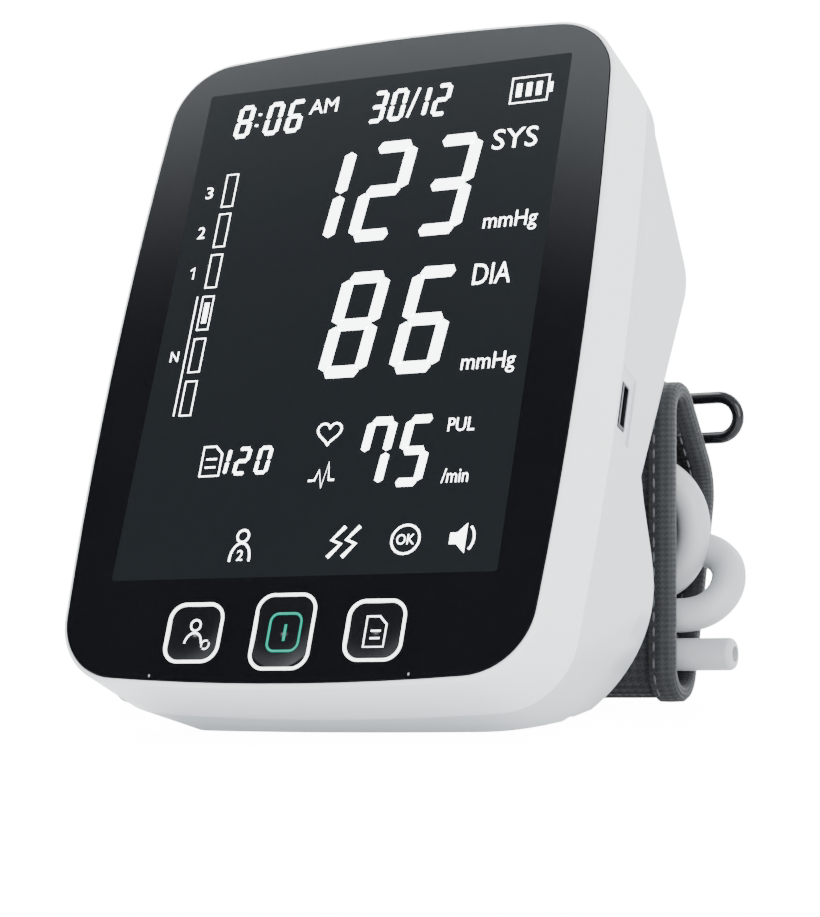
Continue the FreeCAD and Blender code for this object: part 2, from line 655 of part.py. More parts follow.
valve_x, valve_y, valve_z = "33", "33", "0 - 24"
coil = rounded_block("coil", valve_x, valve_y, "18", "12", "18", "12", "1")
coil_bore = cylinder("coil_bore", valve_x, f"{valve_y} - 10", valve_z, "1.6", "14", (0, 1, 0))
valve_nose = cylinder("valve_nose", valve_x, f"{valve_y} + 9", valve_z, "1.9", "4", (0, 1, 0))
node(fuse("exhaust_valve", cut("coil_case", coil, coil_bore), valve_nose), "exhaust_valve", FACE)
pin = cylinder("pin", valve_x, f"{valve_y} - 12.5", valve_z, "1.5", "15", (0, 1, 0))
pin_head = cylinder("pin_head", valve_x, f"{valve_y} - 13.5", valve_z, "3", "1.2", (0, 1, 0))
node(fuse("valve_plunger", pin, pin_head), "valve_plunger", FACE)
sensor = rounded_block("sensor", "0 - 36", "20", "board_depth + board_thick", "10", "9", "5", "0.6")
sensor_nose = cylinder("sensor_nose", "0 - 36", "20", "0 - 20", "1.5", "3.2")
node(fuse("pressure_sensor", sensor, sensor_nose), "pressure_sensor", FACE)

flange = cylinder("socket_flange", "0 - 51.4", "socket_y", "0 - socket_depth", "6.2", "1.1", along_x)
barrel = cylinder("socket_barrel", "0 - 51.3", "socket_y", "0 - socket_depth", "5.1", "13.8", along_x)
socket_bore = cylinder("socket_bore", "0 - 52", "socket_y", "0 - socket_depth", "socket_bore",
                       "socket_length + 0.6", along_x)
socket_vent = cylinder("socket_vent", "0 - 52", "socket_y", "0 - socket_depth", "1.1", "30", along_x)
socket_nose = cylinder("socket_nose", "0 - 38", "socket_y", "0 - socket_depth", "1.9", "5.5", along_x)
node(cut("air_socket", fuse("socket_solid", flange, barrel, socket_nose), socket_bore, socket_vent),
     "air_socket", FACE)


def bent_path(points, runs_share=0.45):
    """Straight runs joined by tangent arcs, each as large as its two runs allow."""
    points = [V(*point) for point in points]
    edges, radii, start = [], [], points[0]
    for before, corner, after in zip(points, points[1:], points[2:]):
        way_in, way_out = (corner - before).normalize(), (after - corner).normalize()
        turn = way_in.getAngle(way_out)
        reach = runs_share * min((corner - before).Length, (after - corner).Length)
        radii.append(reach / math.tan(turn / 2))
        enter, leave = corner - way_in * reach, corner + way_out * reach
        inward = (way_out - way_in).normalize()
        middle = corner + inward * (radii[-1] / math.cos(turn / 2) - radii[-1])
        edges += [Part.LineSegment(start, enter).toShape(), Part.Arc(enter, middle, leave).toShape()]
        start = leave
    edges.append(Part.LineSegment(start, points[-1]).toShape())
    return Part.Wire(edges), radii


def tube(points, radius, bore=0.0):
    """A tube along a route, and what its path measures."""
    path, radii = bent_path(points)
    first = path.Edges[0]
    heading = first.tangentAt(first.FirstParameter)

    def swept(section_radius):
        ring = Part.Wire(Part.Circle(V(*points[0]), heading, section_radius).toShape())
        return path.makePipeShell([ring], True, False)

    shape = swept(radius)
    if bore:
        shape = shape.cut(swept(bore))
    section_area = math.pi * (radius ** 2 - bore ** 2)
    print(f"tube: length {path.Length:.1f}, smallest radius {min(radii):.1f},"
          f" volume / (section x length) {shape.Volume / section_area / path.Length:.4f}")
    return shape


def shaped(name, shape):
    """A sub-part whose shape is set by its own code."""
    thing = doc.addObject("Part::Feature", name)
    thing.Shape = shape
    return thing


manifold = rounded_block("manifold_block", "0 - 34.5", "socket_y", "socket_depth - 4", "5", "14", "8", "1")
manifold_hole = cylinder("manifold_hole", "0 - 40", "socket_y", "0 - socket_depth", "1.95", "10", along_x)
node(cut("air_manifold", manifold, manifold_hole), "air_manifold", FACE)
AIR_ROUTES = [
    [(-32, -36.5, -28), (-27, -36.5, -28), (-24, -42, -35), (-19.2, -42, -35)],
    [(-34.5, -26, -28), (-34.5, -18, -28), (-36, 0, -27), (-36, 20, -27), (-36, 20, -20.05)],
]
air_tubes = []
for i, route in enumerate(AIR_ROUTES):
    air_tubes.append(shaped(f"air_tube_{i}", tube(route, 2.5, 1.2)))
node(group("air_tubes", air_tubes), "air_tubes", FACE)

# ---------------------------------------------------------------- battery bay, in the slope frame
ON_BACK = FACE.multiply(SLOPE)
cover_plate = rounded_block("cover_plate", "0", "0", "0", "cover_width", "cover_length", "cover_thick", "2.5")
grips = [box(f"grip_{i}", "0 - 9", f"0 - 22 + {2.6 * i}", "0 - 0.6", "18", "1.2", "2") for i in range(4)]
ribs = [box(f"cover_rib_{side}", f"{side} * 22 - 4", "4 - cover_length / 2", "0 - 2.5", "8", "1.6", "1.2")
        for side in (-1, 1)]
node(cut("battery_cover", fuse("cover_solid", cover_plate, *ribs), *grips), "battery_cover", ON_BACK)
bay = rounded_block("bay", "0", "0", "2.6", "4 * cell_pitch + 3.4", "cell_length + 3.6", "15.6", "2")
bay_room = box("bay_room", "0 - 2 * cell_pitch - 0.4", "0 - cell_length / 2 - 0.6", "0 - 16.9",
               "4 * cell_pitch + 0.8", "cell_length + 1.2", "20")
node(cut("battery_tray", bay, bay_room), "battery_tray", ON_BACK)
cells, contacts = [], []
for i in range(4):
    x = f"{i - 1.5} * cell_pitch"
    turned = 1 if i % 2 else -1
    barrel = cylinder(f"cell_barrel_{i}", x, "0 - cell_length / 2 + 0.5", "0 - 9.75", "cell_radius",
                      "cell_length - 1.5", (0, 1, 0))
    tip = cylinder(f"cell_tip_{i}", x, f"{turned} * ( cell_length / 2 - 1 )", "0 - 9.75", "2.7", "1",
                   (0, turned, 0))
    cells.append(fuse(f"cell_{i}", barrel, tip))
    for end in (-1, 1):
        contacts.append(box(f"contact_{i}_{end}", f"{x} - 4", f"{end} * ( cell_length / 2 + 0.4 ) - 0.15",
                            "0 - 15", "8", "0.3", "10"))
node(group("battery_cells", cells), "battery_cells", ON_BACK)
node(group("battery_contacts", contacts), "battery_contacts", ON_BACK)

# ---------------------------------------------------------------- screws and base pad
screws = []
for side in (-1, 1):
    for level, seat in (("top", "back_depth - 1.6"), ("low", "low_seat_depth")):
        x, y = f"{side} * screw_{level}_x", f"screw_{level}_y"
        head = cylinder(f"{level}_head_{side}", x, y, f"0 - ( {seat} ) - 1.6", "2.0", "1.6")
        shank = cylinder(f"{level}_shank_{side}", x, y, f"0 - ( {seat} )", "screw_radius", "16")
        screws.append(fuse(f"{level}_screw_{side}", head, shank))
node(group("housing_screws", screws), "housing_screws", FACE)
pad = box("pad_block", "0 - 28", "0 - 17", "0", "56", "34", "pad_thick")
node(rounded_edges("pad", pad, "4", upright), "base_pad")

# ---------------------------------------------------------------- cuff
FOLDS = [("cuff_fold_y", "cuff_fold_z", "cuff_fold_radius"),
         ("cuff_back_y", "cuff_back_z", "cuff_back_radius"),
         ("cuff_top_y", "cuff_top_z", "cuff_top_radius")]


def roll_outline(name, left, shrink):
    """Section of the flattened roll: a belt round three folds, as tangent lines and arcs."""
    folds = [(size(y), size(z), size(f"{radius} - ( {shrink} )")) for y, z, radius in FOLDS]
    normals = []
    for (ay, az, a), (by, bz, b) in zip(folds, folds[1:] + folds[:1]):
        apart = math.hypot(by - ay, bz - az)
        heading = math.atan2(bz - az, by - ay)
        normals.append(heading - math.pi / 2 + math.asin((b - a) / apart) * -1)
    sketch = doc.addObject("Sketcher::SketchObject", name)
    for i, (y, z, radius) in enumerate(folds):
        start, stop = normals[i - 1], normals[i]
        while stop < start:
            stop += 2 * math.pi
        sketch.addGeometry(Part.ArcOfCircle(Part.Circle(V(y, z, 0), V(0, 0, 1), radius), start, stop))
    for i in range(3):
        (ay, az, a), (by, bz, b) = folds[i], folds[(i + 1) % 3]
        out = V(math.cos(normals[i]), math.sin(normals[i]), 0)
        sketch.addGeometry(Part.LineSegment(V(ay, az, 0) + out * a, V(by, bz, 0) + out * b))
    for i in range(3):
        sketch.addConstraint(Sketcher.Constraint("Tangent", i, 2, 3 + i, 1))
        sketch.addConstraint(Sketcher.Constraint("Tangent", 3 + i, 2, (i + 1) % 3, 1))
    for i, (y, z, radius) in enumerate(FOLDS):
        fixed(sketch, "Radius", i, f"{radius} - ( {shrink} )")
        fixed(sketch, "DistanceX", -1, 1, i, 3, y)
        fixed(sketch, "DistanceY", -1, 1, i, 3, z)
    lay(sketch, "YZ", left)
    return sketch


def roll(name, left, right, shrink):
    return extrusion(name, roll_outline(name + "_outline", left, shrink), f"{right} - ( {left} )", (1, 0, 0))


def layer(name, left, right, outside, inside):
    """One layer of the roll between two distances inside its outer face."""
    return cut(name, roll(name + "_outside", left, right, outside),
               roll(name + "_inside", f"{left} - 1", f"{right} + 1", inside))


inner_face = "fabric_thick + bladder_thick"
node(layer("cuff_outer", "cuff_left", "cuff_right", "0", "fabric_thick"), "cuff_outer")
# the nipple's neck leaves the bladder square to the wall between the back and top folds
NECK_START = ("0 - 30", "48.36", "44.85")
NECK_AXIS = (0, 0.808, 0.589)
bladder = layer("bladder", "cuff_left + 12", "cuff_right - 12", "fabric_thick", inner_face)
bladder_hole = cylinder("bladder_hole", *NECK_START, "neck_radius", "18", NECK_AXIS)
node(cut("cuff_bladder", bladder, bladder_hole), "cuff_bladder")
lining = layer("lining", "cuff_left", "cuff_right", inner_face, f"{inner_face} + fabric_thick")
lining_hole = cylinder("lining_hole", *NECK_START, "neck_radius", "18", NECK_AXIS)
node(cut("cuff_lining", lining, lining_hole), "cuff_lining")
bindings = []
for name, left, right in (("right", "cuff_right - binding_width", "cuff_right + 0.6"),
                          ("left", "cuff_left - 0.6", "cuff_left + binding_width")):
    whole = layer(name + "_tape", left, right, "0 - 0.5", f"{inner_face} + fabric_thick + 0.4")
    core = layer(name + "_core", "cuff_left", "cuff_right", "0", f"{inner_face} + fabric_thick")
    bindings.append(cut(name + "_binding", whole, core))
node(group("cuff_binding", bindings), "cuff_binding")

bar_y, bar_z, wire = size("ring_bar_y"), size("ring_bar_z"), size("ring_wire")
bend = "ring_height / 2"
ring_parts = [
    cylinder("ring_bar", "ring_left + 4.2", "ring_bar_y", "ring_bar_z", "ring_wire",
             "ring_right - ring_left", along_x),
    cylinder("ring_top", "ring_left + 4.2", "ring_bar_y", "ring_bar_z + ring_height", "ring_wire",
             "ring_right - ring_left", along_x)]
for side, x in ((-1, "ring_left + 4.2"), (1, "ring_right + 4.2")):
    arch = doc.addObject("Part::Torus", f"ring_end_{side}")
    bind(arch, Radius1=bend, Radius2="ring_wire")
    arch.Angle3 = 180
    arch.Placement = FreeCAD.Placement(V(size(x), bar_y, bar_z + size(bend)),
                                       rotation((1, 0, 0), 90).multiply(rotation((0, 0, 1), -90 * side)))
    ring_parts.append(arch)
node(fuse("d_ring", *ring_parts), "d_ring")
eye = cylinder("eye", "0 - 62", "ring_bar_y", "ring_bar_z", "2.7", "96", along_x)
strap = box("strap", "0 - 62", "cuff_back_y + cuff_back_radius + 0.1", "38", "96", "1.8", "15.6")
eye_bore = cylinder("eye_bore", "0 - 63", "ring_bar_y", "ring_bar_z", "ring_wire + 0.06", "98", along_x)
node(cut("ring_keeper", fuse("keeper_solid", eye, strap), eye_bore), "ring_keeper")

lean = math.atan2(size("cuff_back_z - cuff_fold_z"), size("cuff_back_y - cuff_fold_y"))
lean -= math.asin(size("cuff_back_radius - cuff_fold_radius")
                  / math.hypot(size("cuff_back_z - cuff_fold_z"), size("cuff_back_y - cuff_fold_y")))
patch = box("hook_plate", "0", "0", "0", "70", "20", "1")
turned = FreeCAD.Rotation(V(1, 0, 0), math.degrees(lean))
outward = V(0, math.sin(lean), -math.cos(lean))
along = V(0, math.cos(lean), math.sin(lean))
touch = V(0, size("cuff_fold_y"), size("cuff_fold_z")) + outward * size("cuff_fold_radius + 1.05")
patch.Placement = FreeCAD.Placement(touch + along * 6 + V(-66, 0, 0), turned)
node(patch, "hook_patch")

# ---------------------------------------------------------------- hose, nipple and plug
HOSE_ROUTE = [
    (-22, 52, 47.5), (-2, 51.2, 48.4), (20, 51.7, 47.2), (36.8, 51.5, 47.9),
    (44.2, 51.5, 40.5), (44.2, 51.4, 29.9), (36.8, 51.4, 22.5), (17, 51.2, 23.3),
    (-16, 51.6, 22.6), (-42, 51.5, 23.8), (-58, 52.2, 27.5), (-72.9, 52.6, 33.5),
    (-79, 52.7, 39.7), (-79, 52.4, 48.3), (-72.9, 52, 54.2), (-64.1, 52, 54.2),
    (-50, 53.4, 46.5), (-32, 54.8, 36.2), (-10, 55.6, 31.4), (18, 55.2, 32.4),
    (36, 55.8, 31.8), (46.4, 56.3, 30.5), (51.2, 53.4, 26.6), (51.2, 49.4, 21.2),
    (46.4, 46.5, 17.3), (35.5, 46.1, 17.7), (17, 46.5, 17.1), (-10, 46.2, 17.9),
    (-36, 46.3, 17.5), (-54, 46.3, 20.2), (-67, 46.2, 25.6), (-78.9, 46.2, 27.2),
    (-84.6, 46.1, 21.5), (-84.4, 45.9, 14.5), (-78.5, 45.7, 9.6), (-66, 45.6, 9.2),
    (-44, 45.8, 9.9), (-6, 45.7, 9.6), (32, 45.7, 9.6),
]
node(shaped("hose", tube(HOSE_ROUTE, size("hose_radius"))), "air_hose")
nipple_start = V(*HOSE_ROUTE[0])
nipple_axis = (nipple_start - V(*HOSE_ROUTE[1])).normalize()
boss = doc.addObject("Part::Cylinder", "nipple_boss")
bind(boss, Radius="hose_radius - 0.3", Height="11")
boss.Placement = FreeCAD.Placement(nipple_start, FreeCAD.Rotation(V(0, 0, 1), nipple_axis))
neck = cylinder("nipple_neck", *NECK_START, "neck_radius", "15.1", NECK_AXIS)
node(fuse("hose_nipple", boss, neck), "hose_nipple")
plug_x, plug_y, plug_z = (str(place) for place in HOSE_ROUTE[-1])
plug_stem = cylinder("plug_stem", plug_x, plug_y, plug_z, "plug_radius", "plug_length", along_x)


def plug_tip(edge):
    return all(abs(end.Point.x - size(f"{plug_x} + plug_length")) < 1e-6 for end in edge.Vertexes)


plug_round = rounded_edges("plug_round", plug_stem, "1.2", plug_tip)
plug_bore = cylinder("plug_bore", f"{plug_x} + 13", plug_y, plug_z, "1.6", "12", along_x)
node(cut("air_plug", plug_round, plug_bore), "air_plug")

# ---------------------------------------------------------------- check and write
doc.recompute()
failed = [thing.Name for thing in doc.Objects if {"Invalid", "Error"} & set(thing.State)]
for thing in NODES:
    shape = thing.Shape
    if shape.isNull() or not shape.isValid() or not shape.Solids:
        failed.append(thing.Label)
if failed:
    raise SystemExit(f"these objects failed: {failed}")
os.makedirs("parts", exist_ok=True)
for thing in NODES:
    thing.Shape.exportStep(f"parts/{thing.Label}.step")
    print(f"{thing.Label:18s} {len(thing.Shape.Solids):2d} solids {thing.Shape.Volume / 1000:8.2f} cm3")
print(len(NODES), "nodes")
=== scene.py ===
# %% [markdown]
# An upper arm blood pressure monitor stands on a pale table and leans back on its hump.
# A rolled dark cuff with its coiled air hose stands behind it. The hard case, keys, pump and
# battery bay come ready as a fixed frame of CAD solids, so this lesson adds what those solids
# can't carry: the lit figures, the woven cuff, the hose and every surface finish.

# %% Open the frame
import json
import math
import bpy
from mathutils import Matrix, Vector


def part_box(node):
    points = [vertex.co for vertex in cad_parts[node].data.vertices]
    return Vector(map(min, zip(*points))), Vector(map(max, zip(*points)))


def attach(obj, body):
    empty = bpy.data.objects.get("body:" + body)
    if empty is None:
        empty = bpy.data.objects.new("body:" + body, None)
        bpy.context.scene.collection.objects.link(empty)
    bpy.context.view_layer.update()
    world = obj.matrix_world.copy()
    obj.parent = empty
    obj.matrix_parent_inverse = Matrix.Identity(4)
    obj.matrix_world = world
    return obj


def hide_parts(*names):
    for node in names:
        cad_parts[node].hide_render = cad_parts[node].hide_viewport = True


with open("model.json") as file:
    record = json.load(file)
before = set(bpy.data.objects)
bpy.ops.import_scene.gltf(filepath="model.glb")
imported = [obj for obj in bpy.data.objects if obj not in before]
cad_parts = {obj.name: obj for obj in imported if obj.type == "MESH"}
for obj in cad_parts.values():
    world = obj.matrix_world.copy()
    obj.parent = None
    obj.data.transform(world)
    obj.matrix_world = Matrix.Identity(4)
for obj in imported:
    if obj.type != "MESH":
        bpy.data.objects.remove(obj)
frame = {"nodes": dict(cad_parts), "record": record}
bpy.ops.object.select_all(action="DESELECT")
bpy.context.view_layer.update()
MM = 0.001

# %% [markdown]
# The screen leans back, so the marks on it are easiest to draw flat, in millimetres, with the
# middle of the lit area as origin, and then laid on the face in one move. The same matrix
# serves every mark. The other choice, modelling on the slant, would need a turned cursor.

# %% The leaning face
LEAN = math.radians(24.5)
FACE = (Matrix.Translation((0, -14.5 * MM, 78.7 * MM)) @ Matrix.Rotation(math.pi / 2 - LEAN, 4, "X")
        @ Matrix.Scale(MM, 4))
MILLIMETRES = Matrix.Scale(MM, 4)


def lay(piece, placing):
    """Puts a piece's shape in place and leaves its object at the origin."""
    piece.data.transform(placing @ piece.matrix_basis)
    piece.matrix_basis = Matrix()
    return piece


def select_only(*pieces):
    bpy.ops.object.select_all(action="DESELECT")
    for piece in pieces:
        piece.select_set(True)
    bpy.context.view_layer.objects.active = pieces[0]


def join(pieces, name):
    """Several flat pieces become one named piece, once each one's place is in its mesh."""
    select_only(*pieces)
    bpy.ops.object.transform_apply(location=True, rotation=True, scale=True)
    bpy.ops.object.join()
    whole = bpy.context.view_layer.objects.active
    whole.name = name
    whole.data.name = name
    return whole


def give(piece, finish):
    """One finish all over a piece."""
    piece.data.materials.clear()
    piece.data.materials.append(finish)
    return piece


print("face normal", [round(part, 3) for part in (FACE.to_3x3().normalized() @ Vector((0, 0, 1)))])

# %% [markdown]
# The camera goes in before anything is shaped, so each stage can be looked at from the same
# place: low, to the right of the screen, with a long lens. Depth of field stays off.

# %% Camera
CAMERA_PLACE = (0.22717, -0.44411, 0.04366)
CAMERA_HEADING, CAMERA_TIP, CAMERA_ROLL = 26.508, 90.871, -2.330
camera_data = bpy.data.cameras.new("product_camera")
camera_data.lens = 100.66
camera_data.sensor_width = 36
camera = bpy.data.objects.new("product_camera", camera_data)
camera.matrix_world = (Matrix.Translation(CAMERA_PLACE)
                       @ Matrix.Rotation(math.radians(CAMERA_HEADING), 4, "Z")
                       @ Matrix.Rotation(math.radians(CAMERA_TIP), 4, "X")
                       @ Matrix.Rotation(math.radians(CAMERA_ROLL), 4, "Z"))
bpy.context.scene.collection.objects.link(camera)
bpy.context.scene.camera = camera
print("lens", camera_data.lens, "mm")

# %% [markdown]
# A studio table is one pale sheet that sweeps up behind the object, so no horizon shows. A
# plane is pushed up at its back edge by extrusion and the corner is bevelled into a sweep.

# %% Table and backdrop


def material(name):
    """A new node material, with its nodes and links at hand."""
    made = bpy.data.materials.new(name)
    made.use_nodes = True
    return made, made.node_tree.nodes, made.node_tree.links


def table_finish():
    """Satin studio paper, a touch cloudy."""
    made, nodes, links = material("pale_table")
    shader = nodes["Principled BSDF"]
    grain = nodes.new("ShaderNodeTexNoise")
    grain.inputs["Scale"].default_value = 6
    tone = nodes.new("ShaderNodeMixRGB")
    tone.inputs[1].default_value = (0.93, 0.935, 0.94, 1)
    tone.inputs[2].default_value = (0.95, 0.953, 0.957, 1)
    where = nodes.new("ShaderNodeTexCoord")
    links.new(where.outputs["Object"], grain.inputs["Vector"])
    links.new(grain.outputs["Fac"], tone.inputs[0])
    links.new(tone.outputs[0], shader.inputs["Base Color"])
    shader.inputs["Roughness"].default_value = 0.42
    shader.inputs["Emission Color"].default_value = (1, 1, 1, 1)
    # the camera sees the table brighter than the light it throws on the set
    seen = nodes.new("ShaderNodeLightPath")
    glow = nodes.new("ShaderNodeMapRange")
    glow.inputs["To Min"].default_value = 0.3
    glow.inputs["To Max"].default_value = 14.0
    links.new(seen.outputs["Is Camera Ray"], glow.inputs["Value"])
    links.new(glow.outputs[0], shader.inputs["Emission Strength"])
    return made


def pick_points(piece, wanted):
    """Leaves edit mode open with only the wanted points of a mesh selected."""
    select_only(piece)
    bpy.ops.object.mode_set(mode="EDIT")
    bpy.ops.mesh.select_mode(type="VERT")
    bpy.ops.mesh.select_all(action="DESELECT")
    bpy.ops.object.mode_set(mode="OBJECT")
    for point in piece.data.vertices:
        point.select = wanted(point.co)
    bpy.ops.object.mode_set(mode="EDIT")


TABLE_SIZE = 6
TABLE_DEPTH = 0.9
BACKDROP_HEIGHT = 3
bpy.ops.mesh.primitive_plane_add(size=TABLE_SIZE, location=(0, TABLE_DEPTH - TABLE_SIZE / 2, 0))
table = bpy.context.object
pick_points(table, lambda place: place.y > 0)
bpy.ops.mesh.select_mode(type="EDGE")
bpy.ops.mesh.extrude_region_move(TRANSFORM_OT_translate={"value": (0, 0, BACKDROP_HEIGHT)})
bpy.ops.object.mode_set(mode="OBJECT")
sweep = table.modifiers.new("sweep", "BEVEL")
sweep.width = 0.7
sweep.segments = 24
bpy.ops.object.modifier_apply(modifier="sweep")
bpy.ops.object.shade_smooth()
table.name = "studio_table"
give(table, table_finish())
print("table", len(table.data.polygons), "faces")

# %% [markdown]
# Product light is soft: a big panel from the upper left, one from the right for the white side
# wall, a weak one behind for the rim, and an even pale sky that keeps the shadows light. The
# black glass mirrors this sky as a grey fade at its top, and a dark flag below that.

# %% Lights


def soft_light(name, where, aim, width, height, power):
    """A rectangular panel light in watts, turned towards a point."""
    light = bpy.data.lights.new(name, "AREA")
    light.shape = "RECTANGLE"
    light.size, light.size_y = width, height
    light.energy = power
    lamp = bpy.data.objects.new(name, light)
    lamp.location = where
    lamp.rotation_euler = (Vector(aim) - Vector(where)).to_track_quat("-Z", "Y").to_euler()
    bpy.context.scene.collection.objects.link(lamp)
    return lamp


soft_light("key_panel", (-0.5, 0.02, 1.05), (0, 0, 0.06), 0.9, 0.8, 16)
soft_light("right_panel", (0.95, -0.7, 0.45), (0.03, 0, 0.07), 0.9, 0.8, 15)
soft_light("back_panel", (0.35, 0.8, 0.75), (0, 0.03, 0.06), 0.8, 0.5, 3)
world = bpy.data.worlds.new("pale_sky")
bpy.context.scene.world = world
world.use_nodes = True
sky_nodes, sky_links = world.node_tree.nodes, world.node_tree.links
sky = sky_nodes["Background"]
sky.inputs["Color"].default_value = (0.90, 0.97, 1.0, 1)
# a dark flag hangs where the black window would mirror the sky
heading = sky_nodes.new("ShaderNodeTexCoord")
towards_flag = sky_nodes.new("ShaderNodeVectorMath")
towards_flag.operation = "DOT_PRODUCT"
towards_flag.inputs[1].default_value = Vector((-0.45, -0.75, 0.48)).normalized()
flag = sky_nodes.new("ShaderNodeMapRange")
flag.interpolation_type = "SMOOTHSTEP"
for socket, value in (("From Min", 0.895), ("From Max", 0.945), ("To Min", 1.7), ("To Max", 0.02)):
    flag.inputs[socket].default_value = value
sky_links.new(heading.outputs["Generated"], towards_flag.inputs[0])
sky_links.new(towards_flag.outputs["Value"], flag.inputs["Value"])
sky_links.new(flag.outputs[0], sky.inputs["Strength"])
print(len(bpy.data.lights), "lights")

# %% [markdown]
# Most hard pieces are moulded plastic, metal or rubber. They share one recipe: a colour that
# drifts a little over centimetres, a very fine grain that lifts the surface by microns, and a
# roughness that varies slightly, as handling and moulding leave it. Only numbers differ, so
# one function makes them all and each finish still has its own nodes.

# %% Recipe for hard finishes


def hard_finish(name, colour, roughness, metal=0.0, grain=900, depth=0.02, drift=0.04, coat=0.0,
                clear=0.0, shine=0.5, glow=0.0):
    """Plastic, metal or rubber: clear is how much light passes, glow how much it gives."""
    made, nodes, links = material(name)
    shader = nodes["Principled BSDF"]
    where = nodes.new("ShaderNodeTexCoord")
    patches = nodes.new("ShaderNodeTexNoise")
    patches.inputs["Scale"].default_value = 45
    patches.inputs["Detail"].default_value = 3
    tone = nodes.new("ShaderNodeMixRGB")
    tone.inputs[1].default_value = (*[part * (1 - drift) for part in colour], 1)
    tone.inputs[2].default_value = (*[min(1, part * (1 + drift)) for part in colour], 1)
    spread = nodes.new("ShaderNodeMapRange")
    spread.inputs["To Min"].default_value = roughness * 0.9
    spread.inputs["To Max"].default_value = roughness * 1.12
    fine = nodes.new("ShaderNodeTexNoise")
    fine.inputs["Scale"].default_value = grain
    lift = nodes.new("ShaderNodeBump")
    lift.inputs["Strength"].default_value = depth
    lift.inputs["Distance"].default_value = 0.0004
    links.new(where.outputs["Object"], patches.inputs["Vector"])
    links.new(where.outputs["Object"], fine.inputs["Vector"])
    links.new(patches.outputs["Fac"], tone.inputs[0])
    links.new(patches.outputs["Fac"], spread.inputs["Value"])
    links.new(tone.outputs[0], shader.inputs["Base Color"])
    links.new(spread.outputs[0], shader.inputs["Roughness"])
    links.new(fine.outputs["Fac"], lift.inputs["Height"])
    links.new(lift.outputs["Normal"], shader.inputs["Normal"])
    shader.inputs["Metallic"].default_value = metal
    shader.inputs["Coat Weight"].default_value = coat
    shader.inputs["Transmission Weight"].default_value = clear
    shader.inputs["Specular IOR Level"].default_value = shine
    shader.inputs["Emission Color"].default_value = (1, 1, 1, 1)
    shader.inputs["Emission Strength"].default_value = glow
    return made


FINISHES = {
    "shell_white": hard_finish("case_white", (0.84, 0.85, 0.86), 0.26, coat=0.3, drift=0.012),
    "window_black": hard_finish("window_black", (0.004, 0.004, 0.005), 0.09, depth=0.003, drift=0.1,
                                shine=0.95),
    "tape_black": hard_finish("foam_tape", (0.02, 0.02, 0.02), 0.8, depth=0.3),
    # painted light: the printed white rings round the keys glow (glow 3.0), though no lamp lights them
    "ring_white": hard_finish("ring_white", (0.86, 0.87, 0.89), 0.25, drift=0.01, glow=3.0),
    "button_dark": hard_finish("key_black", (0.006, 0.006, 0.007), 0.16, depth=0.004, drift=0.08, shine=0.3),
    "button_teal": hard_finish("start_key_black", (0.006, 0.006, 0.007), 0.16, depth=0.004, drift=0.08,
                               shine=0.3),
    "lcd_glass": hard_finish("display_glass", (0.16, 0.17, 0.19), 0.05, depth=0.0, clear=0.3),
    "light_guide": hard_finish("diffuser_film", (0.62, 0.64, 0.66), 0.5, depth=0.01),
    "inner_plastic": hard_finish("inner_plastic", (0.70, 0.71, 0.72), 0.5, depth=0.06),
    "inner_black": hard_finish("inner_black", (0.03, 0.03, 0.034), 0.5, depth=0.08, drift=0.1),
    "circuit_board": hard_finish("solder_mask", (0.02, 0.17, 0.07), 0.35, depth=0.05, drift=0.15),
    "steel": hard_finish("nickelled_steel", (0.60, 0.61, 0.63), 0.3, metal=1.0, grain=1600, depth=0.03),
    "flex_film": hard_finish("flex_film", (0.50, 0.24, 0.05), 0.3, drift=0.08),
    "soft_rubber": hard_finish("silicone", (0.28, 0.29, 0.31), 0.45, depth=0.03),
    "socket_grey": hard_finish("socket_grey", (0.62, 0.64, 0.67), 0.32),
    "cell_jacket": hard_finish("cell_sleeve", (0.08, 0.19, 0.36), 0.28, drift=0.1),
    "pad_rubber": hard_finish("pad_rubber", (0.25, 0.26, 0.28), 0.75, grain=2200, depth=0.2),
    "ring_wire": hard_finish("lacquered_wire", (0.004, 0.004, 0.005), 0.14, depth=0.005, drift=0.1,
                             shine=0.35),
    "hose_grey": hard_finish("hose_rubber", (0.44, 0.45, 0.465), 0.38, grain=1300, depth=0.04),
}
for entry in frame["record"]["subparts"]:
    finish = FINISHES.get(entry["material_slot"])
    if finish:
        give(frame["nodes"][entry["node"]], finish)
# painted shade: the back shell is the same white plastic as the front, given a darker blue-grey copy of its
# colour as the shade on its hump and rear band
give(frame["nodes"]["rear_shell"], hard_finish("back_white_painted_shade", (0.57, 0.60, 0.62), 0.3, coat=0.2, drift=0.012))
# painted shade: the port's steel is darkened nearly to black, as the shade inside its slot
give(frame["nodes"]["usb_receptacle"], hard_finish("port_steel_painted_shade", (0.10, 0.10, 0.11), 0.35, metal=1.0))
print(len(FINISHES), "hard finishes")

# %% [markdown]
# Behind the black window a wide slate panel is lit. Real glass shows it just under the surface.
# A thin sheet laid on the window reads the same and keeps the window whole. It starts as a
# plane, its corners are bevelled, and Solidify gives it two hundredths of a millimetre.

# %% Lit area
MARK_THICK = 0.05
LIT_WIDE, LIT_TALL, LIT_THICK = 80, 106.6, 0.02


def give_wall(piece, thick, offset):
    """Solidifies a sheet: offset 1 adds the wall in front, -1 behind and 0 on both sides."""
    select_only(piece)
    wall = piece.modifiers.new("wall", "SOLIDIFY")
    wall.thickness = thick
    wall.offset = offset
    bpy.ops.object.modifier_apply(modifier="wall")
    return piece


def thicken(piece, thick=MARK_THICK):
    """Gives a flat piece a little thickness towards the reader."""
    return give_wall(piece, thick, 1)


